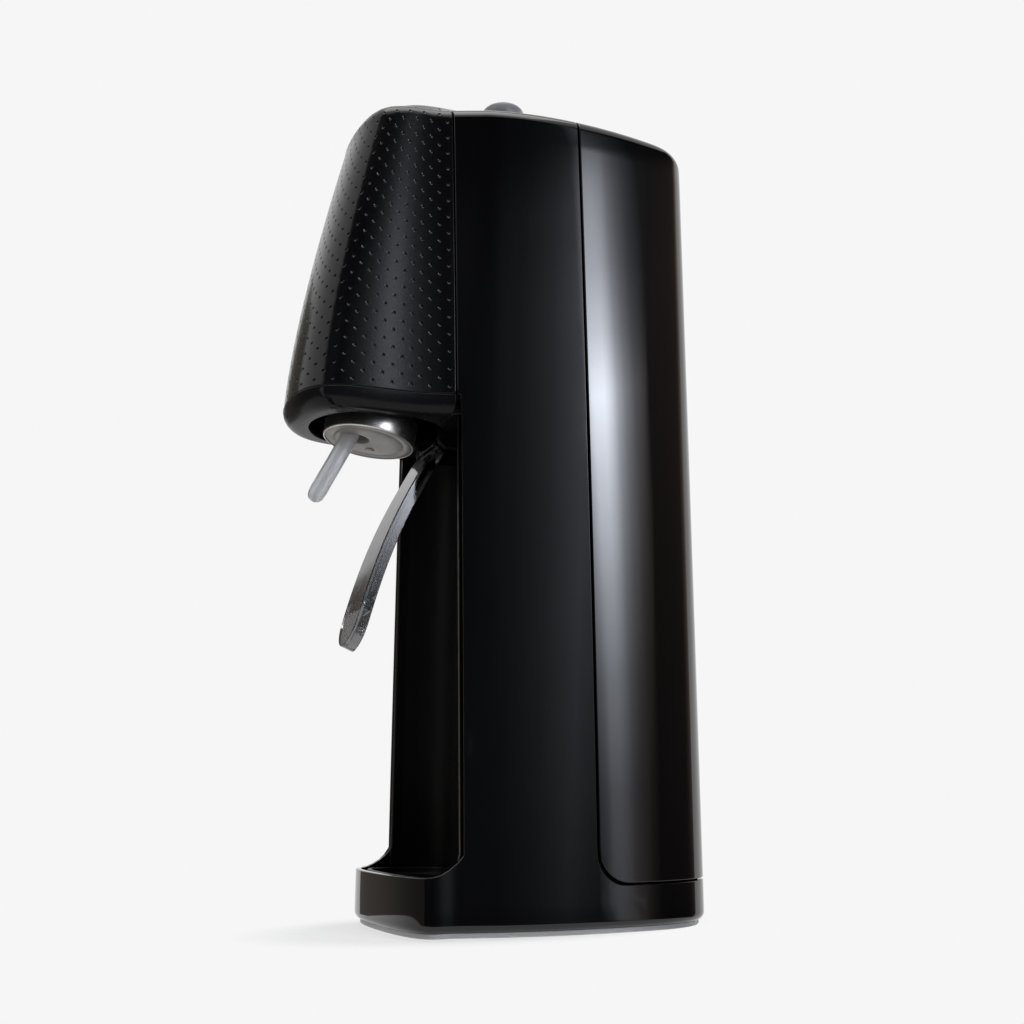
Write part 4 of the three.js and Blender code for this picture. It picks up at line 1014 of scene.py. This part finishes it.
def add_base_plate():
    low, high = (value.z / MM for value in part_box("base_plate"))
    # The plate's pale finish paints the floor's reflection along the base's lower edge.
    mesh = slab(ring(SKIRT_BOTTOM + SKIRT_ROUND, BASE_REACH, WALL + GAP, 1, low), (0, 0, high - low))
    piece("base_plate_edge", mesh, "frame", BASE_PLATE_PAINTED_REFLECTION, ["base_plate"], 0, ROLLED_EDGE)
    for name in ("front_left", "front_right", "rear_left", "rear_right"):
        low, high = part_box(f"foot_{name}")
        radius = (high.x - low.x) / MM / 2
        mesh = turned([(0, 0), (radius * 0.5, 0), (radius * 0.56, 0.25), (radius * 0.66, 0.25),
                       (radius * 0.72, 0), (radius - 0.6, 0), (radius, 0.5), (radius, 0.9), (0, 0.9)])
        place = (low + high) / 2 / MM
        piece(f"rubber_foot_{name}", moved(mesh, (place.x, place.y, low.z / MM)), "frame", RUBBER,
              [f"foot_{name}"])


# Nozzle, tube and lever

def circle_row(radius, z, middle=0):
    """A row of points round a circle, in metres."""
    angles = [2 * math.pi * i / TURN_STEPS for i in range(TURN_STEPS)]
    return [Vector((radius * math.cos(a), middle + radius * math.sin(a), z)) * MM for a in angles]


def add_nozzle():
    outer, inner, foot = RING_SHOWN, RING_SHOWN - RING_LIP, -RING_HANG
    profile = [(inner, foot + 2), (inner, foot), (outer - 0.5, foot), (outer, foot + 0.5),
               (outer, RING_HEIGHT), (outer - 2, RING_HEIGHT), (outer - 2, foot + 3), (inner, foot + 3),
               (inner, foot + 2)]
    piece("nozzle_ring", moved(turned(rounded(profile, 0.35)), NOZZLE_PLACE, NOZZLE_TILT), "nozzle", STEEL,
          ["steel_ring"])
    hole, mid, top, low = SEAL_HOLE, -TUBE_AHEAD, SEAL_TOP, foot + 0.35
    face = inner - 0.15
    rows = [circle_row(face, top), circle_row(face, low + 0.3), circle_row(face - 0.3, low),
            circle_row(face - 4, low), circle_row(face - 4.3, low + 0.25), circle_row(face - 4.7, low + 0.25),
            circle_row(face - 5, low, -0.4), circle_row(13.6, low, -2.6), circle_row(hole + 1.4, low, mid),
            circle_row(hole + 0.4, low, mid), circle_row(hole, low + 0.4, mid), circle_row(hole, top, mid)]
    rows.append(rows[0])
    mesh = grid_over(rows)
    boss = turned([(0, low + 0.5), (2.4, low + 0.5), (2.4, low - 0.2), (1.9, low - 0.7), (0, low - 0.8)])
    bmesh.ops.translate(boss, verts=boss.verts, vec=Vector(SEAL_BOSS) * MM)
    absorb(mesh, boss)
    piece("bottle_seal_disc", moved(mesh, NOZZLE_PLACE, NOZZLE_TILT), "nozzle", SEAL, ["bottle_seal"])


def add_tube():
    r, tip = TUBE_RADIUS, -TUBE_LENGTH
    profile = [(TUBE_BORE, 0), (TUBE_BORE, tip + 0.8), (1.4, tip + 0.1), (2.2, tip + 0.25), (3.1, tip + 0.9),
               (3.8, tip + 2), (4.2, tip + 3.6), (r, tip + 5.6), (r, tip * 0.25), (r, TUBE_TOP),
               (TUBE_BORE, TUBE_TOP), (TUBE_BORE, 0)]
    piece("dip_tube", moved(turned(profile), TUBE_PLACE, TUBE_LEAN), "tube", MILKY, ["carbonation_tube"])


def add_lever():
    """A clear lever: a bowed skin with a trough behind it, a round tip and a boss on its pin."""
    half, straight = LEVER_WIDTH / 2, LEVER_LENGTH - LEVER_WIDTH / 2
    neck, pad = LEVER_BOSS * 2, LEVER_LENGTH - LEVER_PAD
    drops = [LEVER_BOSS * 0.6, neck]
    drops += [neck + (pad - neck) * i / LEVER_STEPS for i in range(1, LEVER_STEPS + 1)]
    drops += [straight - LEVER_LEAD, straight]
    inner = half - LEVER_SKIN

    def front(x, drop):
        return Vector((x, -LEVER_BOW * math.sin(math.pi * drop / LEVER_LENGTH) - LEVER_DEPTH / 2, -drop)) * MM

    across = (-half, -inner, -inner / 2, 0, inner / 2, inner, half)
    rows = [[front(x, drop) for x in across] for drop in drops]
    for i in range(1, TIP_STEPS + 1):
        angle = math.pi / 2 * i / TIP_STEPS
        rows.append([front(x * math.cos(angle), straight + half * math.sin(angle)) for x in across])
    mesh = grid_over(rows, closed=False)
    back = raised(mesh, mesh.faces[:], Vector((0, LEVER_DEPTH, 0)))
    trough = [f for f in back if abs(f.calc_center_median().x) < inner * MM
              and neck * MM < -f.calc_center_median().z < pad * MM]
    raised(mesh, trough, Vector((0, LEVER_SKIN - LEVER_DEPTH, 0)))
    face_out(mesh)
    boss = turned(rounded([(LEVER_BORE, 0), (LEVER_BORE, -half), (LEVER_BOSS, -half), (LEVER_BOSS, half),
                           (LEVER_BORE, half), (LEVER_BORE, 0)], 0.6))
    bmesh.ops.rotate(boss, verts=boss.verts, cent=(0, 0, 0), matrix=Matrix.Rotation(math.pi / 2, 3, "Y"))
    absorb(mesh, boss)
    piece("clear_lever", moved(mesh, LEVER_PLACE, LEVER_LEAN), "bottle_lever", SMOKE, ["bottle_lever"], 0,
          ROLLED_EDGE)


def add_lugs():
    """Two ears under the head that carry the lever's pin, and two inside that carry the nozzle."""
    inner, bay_back = LEVER_WIDTH / 2 + 2 * GAP, behind(BAY_DEPTH)
    y, z = LEVER_PLACE[1], LEVER_PLACE[2]
    ear = arc(y, z, LEVER_BOSS, 180, 270) + [(bay_back, z - LEVER_BOSS), (bay_back, HEAD_BOTTOM),
                                             (y - LEVER_BOSS, HEAD_BOTTOM)]
    post_y, post_z = middle_y("hinge_pin_left"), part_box("head_underside")[1].z / MM - POST_ROUND
    post = arc(post_y, post_z, POST_ROUND, 0, 180) + [(post_y - POST_ROUND, HEAD_BOTTOM + WALL),
                                                      (post_y + POST_ROUND, HEAD_BOTTOM + WALL)]
    for name, outline, x, wide in (("lever_lug", ear, inner, LUG_WALL),
                                   ("hinge_post", post, POST_INNER, POST_WIDTH)):
        for side, word in ((1, "left"), (-1, "right")):
            mesh = slab([Vector((side * x, *point)) * MM for point in outline], (side * wide, 0, 0))
            piece(f"{name}_{word}", mesh, "frame", UNDERSIDE, [], 0, ROLLED_EDGE)


# Button and cylinder

def add_button():
    place = Vector((0, behind(BUTTON_BEHIND), 0))
    r, foot, top = turned_size("button_cap")
    cap = turned([(0, top), (r * 0.55, top - 0.12), (r * 0.78, top - 0.45), (r * 0.9, top - 1),
                  (r * 0.965, top - 1.8), (r, top - 3), (r, foot + 0.3), (r - 0.3, foot), (r - 1.8, foot),
                  (r - 2.1, foot + 0.3), (r - 2.1, top - 3.2), (0, top - 2.6)])
    piece("button_dome", moved(cap, place), "button", BUTTON, ["button_cap"])
    r, foot, top = turned_size("button_collar")
    inner, hole = r - WALL + 2 * GAP, turned_size("button_rod")[0] + GAP
    collar = turned(rounded([(hole, foot + 1), (hole, foot), (r, foot), (r, top), (inner, top),
                             (inner, foot + WALL), (hole, foot + WALL), (hole, foot + 1)], 0.8, 4))
    piece("button_well", moved(collar, place), "frame", GLOSS, ["button_collar"])


def add_cylinder():
    """The gas cylinder, its valve and the cup that it stands in, turned smooth."""
    place = (0, middle_y("gas_cylinder"), 0)
    r, low, high = turned_size("gas_cylinder")
    shoulder = high - NECK_RADIUS - DOME_HEIGHT
    dome = [(NECK_RADIUS + (r - NECK_RADIUS) * math.cos(a), shoulder + DOME_HEIGHT * math.sin(a))
            for a in (math.pi / 2 * i / 12 for i in range(13))]
    outer = [(0, low + 3), (r * 0.5, low + 2.2), (r * 0.68, low + 0.6), (r * 0.78, low), (r - 2.4, low + 0.2),
             (r - 0.8, low + 1.2), (r, low + 3.4)]
    outer += dome + [(NECK_RADIUS, high - 0.5), (NECK_RADIUS - 0.5, high)]
    neck, foot, top = turned_size("cylinder_valve")
    bore, wall = neck / 2 + NECK_BORE_MARGIN, CYLINDER_WALL
    inner = [(bore, high), (bore, high - NECK_RADIUS)]
    inner += [(x - wall, z - wall) for x, z in dome[::-1] if x - wall > bore]
    mesh = turned(outer + inner + [(r - wall, low + CYLINDER_FLOOR), (0, low + CYLINDER_FLOOR)])
    piece("steel_cylinder", moved(mesh, place), "cylinder", ALUMINIUM, ["gas_cylinder"])
    body, stem, base = NECK_RADIUS * 0.75, VALVE_STEM, high + GAP
    profile = [(VALVE_BORE, foot + 2), (VALVE_BORE, foot), (stem, foot), (stem, base), (neck, base),
               (neck, base + 2 * WALL), (body, base + 2 * WALL), (body, base + 8), (body - 0.9, base + 8.6),
               (body - 0.9, base + 9.8), (body, base + 10.4), (body, top), (VALVE_BORE, top),
               (VALVE_BORE, foot + 2)]
    piece("brass_valve", moved(turned(rounded(profile, 0.5)), place), "cylinder", BRASS, ["cylinder_valve"])
    r, foot, top = turned_size("cylinder_cradle")
    hollow, floor = r - CRADLE_WALL, low - GAP
    cup = [(0, foot), (r, foot), (r, top), (hollow, top), (hollow, floor), (0, floor)]
    piece("cylinder_cup", moved(turned(rounded(cup, 0.7)), place), "frame", FRAME_GREY, ["cylinder_cradle"])


def finish_frame_nodes():
    refinish(FRAME_GREY, "nozzle_carriage", "tube_holder", "actuator_lever", "gas_block", "chassis")
    refinish(DRAWN_STEEL, "hinge_pin_left", "hinge_pin_right", "lever_pin", "button_spring", "lever_axle",
             "valve_pin", *(f"base_screw_{i}" for i in range(1, 5)))
    refinish(SATIN, "button_rod", "gas_hose")
    refinish(BRASS, "relief_valve")


# Lights

# Brightness by azimuth in degrees round the room's curtain, and by height in metres on its window
CURTAIN_RADIUS = 2.5
CURTAIN_FROM, CURTAIN_TO = -66, 92
CURTAIN_LOW, CURTAIN_HIGH = -1.0, 3.4
CURTAIN_LEVELS = [(-66, 0.03), (-56, 0.06), (-50, 0.09), (-45, 0.1), (-38, 0.08), (-30, 0.03), (-24, 0.05),
                  (-18, 0.11), (-10, 0.15), (-4, 0.25), (2, 0.4), (8, 0.7), (13, 1.0), (20, 0.6), (27, 0.2),
                  (33, 0.12), (78, 0.11), (85, 0.3), (92, 0.7)]
CURTAIN_HEIGHTS = [(-1, 0.15), (-0.36, 0.15), (1.5, 1.15), (1.85, 0.95), (2.1, 0.25), (3.4, 0.08)]
WINDOW_LEVELS = [(12.5, 0), (15.5, 0.5), (17, 0.95), (19.5, 1), (21.5, 0.75), (23.5, 0.4), (26, 0.2),
                 (29, 0.08), (34, 0)]
WINDOW_HEIGHTS = [(-1, 0.02), (-0.25, 0.045), (0.05, 0.07), (0.35, 0.16), (0.6, 0.32), (0.95, 0.66),
                  (1.18, 1), (1.38, 0.6), (1.6, 0.36), (1.9, 0.22), (2.1, 0.03), (3.4, 0)]
WINDOW_GLOW = 22
WINDOW_SLANT = 6.6
WINDOW_MIDDLE = 1.18
COOL = (0.93, 0.98, 1.09, 1)
BROWN = (0.17, 0.15, 0.13, 1)
BLACK = (0.02, 0.02, 0.02, 1)
WARM = (1.25, 0.95, 0.8, 1)

# Plain cards round the rest of the room: azimuths in degrees, heights in metres and colour
CURTAIN_CARDS = [("low_curtain", -171, -74, CURTAIN_LOW, 1.2, "brown_curtain", BROWN),
                 ("corner_curtain", -74, CURTAIN_FROM, CURTAIN_LOW, 0.35, "corner_brown_curtain", BROWN),
                 ("dark_curtain", -74, CURTAIN_FROM, 0.35, 1.3, "black_curtain", BLACK),
                 ("far_curtain", -171, -140, 1.2, 1.75, "far_brown_curtain", BROWN)]


def levels(tree, value, stops):
    """A curve of levels from 0 to 1 over a value, by its stops."""
    low, high = stops[0][0], stops[-1][0]
    ramp = tree.nodes.new("ShaderNodeValToRGB").color_ramp
    while len(ramp.elements) > 1:
        ramp.elements.remove(ramp.elements[0])
    for i, (at, level) in enumerate(stops):
        place = (at - low) / (high - low)
        element = ramp.elements[0] if i == 0 else ramp.elements.new(place)
        element.position = place
        element.color = (level, level, level, 1)
    node = tree.nodes[-1]
    share = sums(tree, "DIVIDE", sums(tree, "SUBTRACT", value, low), high - low)
    tree.links.new(share, node.inputs["Fac"])
    return node.outputs["Color"]


def curtain_cloth():
    """Dark folds that brighten round to one tall, slanted window, cool on its near side and warm beyond."""
    material = card("curtain", PALE)
    tree = material.node_tree
    place = tree.nodes.new("ShaderNodeSeparateXYZ")
    tree.links.new(tree.nodes.new("ShaderNodeTexCoord").outputs["Object"], place.inputs[0])
    x, y, z = (place.outputs[axis] for axis in "XYZ")
    azimuth = sums(tree, "MULTIPLY", sums(tree, "ARCTAN2", y, x), math.degrees(1))
    slanted = sums(tree, "ADD", azimuth, sums(tree, "MULTIPLY", sums(tree, "SUBTRACT", z, WINDOW_MIDDLE),
                                              WINDOW_SLANT))
    window = sums(tree, "MULTIPLY", levels(tree, slanted, WINDOW_LEVELS), levels(tree, z, WINDOW_HEIGHTS))
    cloth = sums(tree, "MULTIPLY", levels(tree, azimuth, CURTAIN_LEVELS), levels(tree, z, CURTAIN_HEIGHTS))
    strength = sums(tree, "ADD", sums(tree, "MULTIPLY", window, WINDOW_GLOW), cloth)
    tint = tree.nodes.new("ShaderNodeMix")
    tint.data_type = "RGBA"
    tree.links.new(levels(tree, azimuth, [(28, 0), (40, 1)]), tint.inputs["Factor"])
    tint.inputs["A"].default_value = COOL
    tint.inputs["B"].default_value = WARM
    glow = tree.nodes["Emission"]
    tree.links.new(tint.outputs["Result"], glow.inputs["Color"])
    tree.links.new(strength, glow.inputs["Strength"])
    return material


def curtain_wall(name, start, end, low, high, material):
    """Part of an upright cylinder round the machine, between two azimuths."""
    mesh = bmesh.new()
    foot = mesh.verts.new((CURTAIN_RADIUS, 0, low))
    head = mesh.verts.new((CURTAIN_RADIUS, 0, high))
    bmesh.ops.spin(mesh, geom=[foot, head, mesh.edges.new((foot, head))], axis=(0, 0, 1), cent=(0, 0, 0),
                   angle=math.radians(end - start), steps=48)
    bmesh.ops.rotate(mesh, verts=mesh.verts, cent=(0, 0, 0),
                     matrix=Matrix.Rotation(math.radians(start), 3, "Z"))
    add_stage(name, mesh, material).visible_camera = False


def add_curtains():
    """The room round the camera, which the polished casing shows in its gloss."""
    curtain_wall("curtain", CURTAIN_FROM, CURTAIN_TO, CURTAIN_LOW, CURTAIN_HIGH, curtain_cloth())
    for name, start, end, low, high, material, colour in CURTAIN_CARDS:
        curtain_wall(name, start, end, low, high, card(material, colour))


for build in (add_housing, add_rear_cover, add_front_panel, add_head_underside, add_bay_liner, add_drip_tray,
              add_base_plate, add_nozzle, add_tube, add_lever, add_lugs, add_button, add_cylinder,
              finish_frame_nodes, add_camera, add_world, add_floor, add_curtains, add_lamp):
    build()
bpy.context.scene.view_settings.view_transform = "Standard"
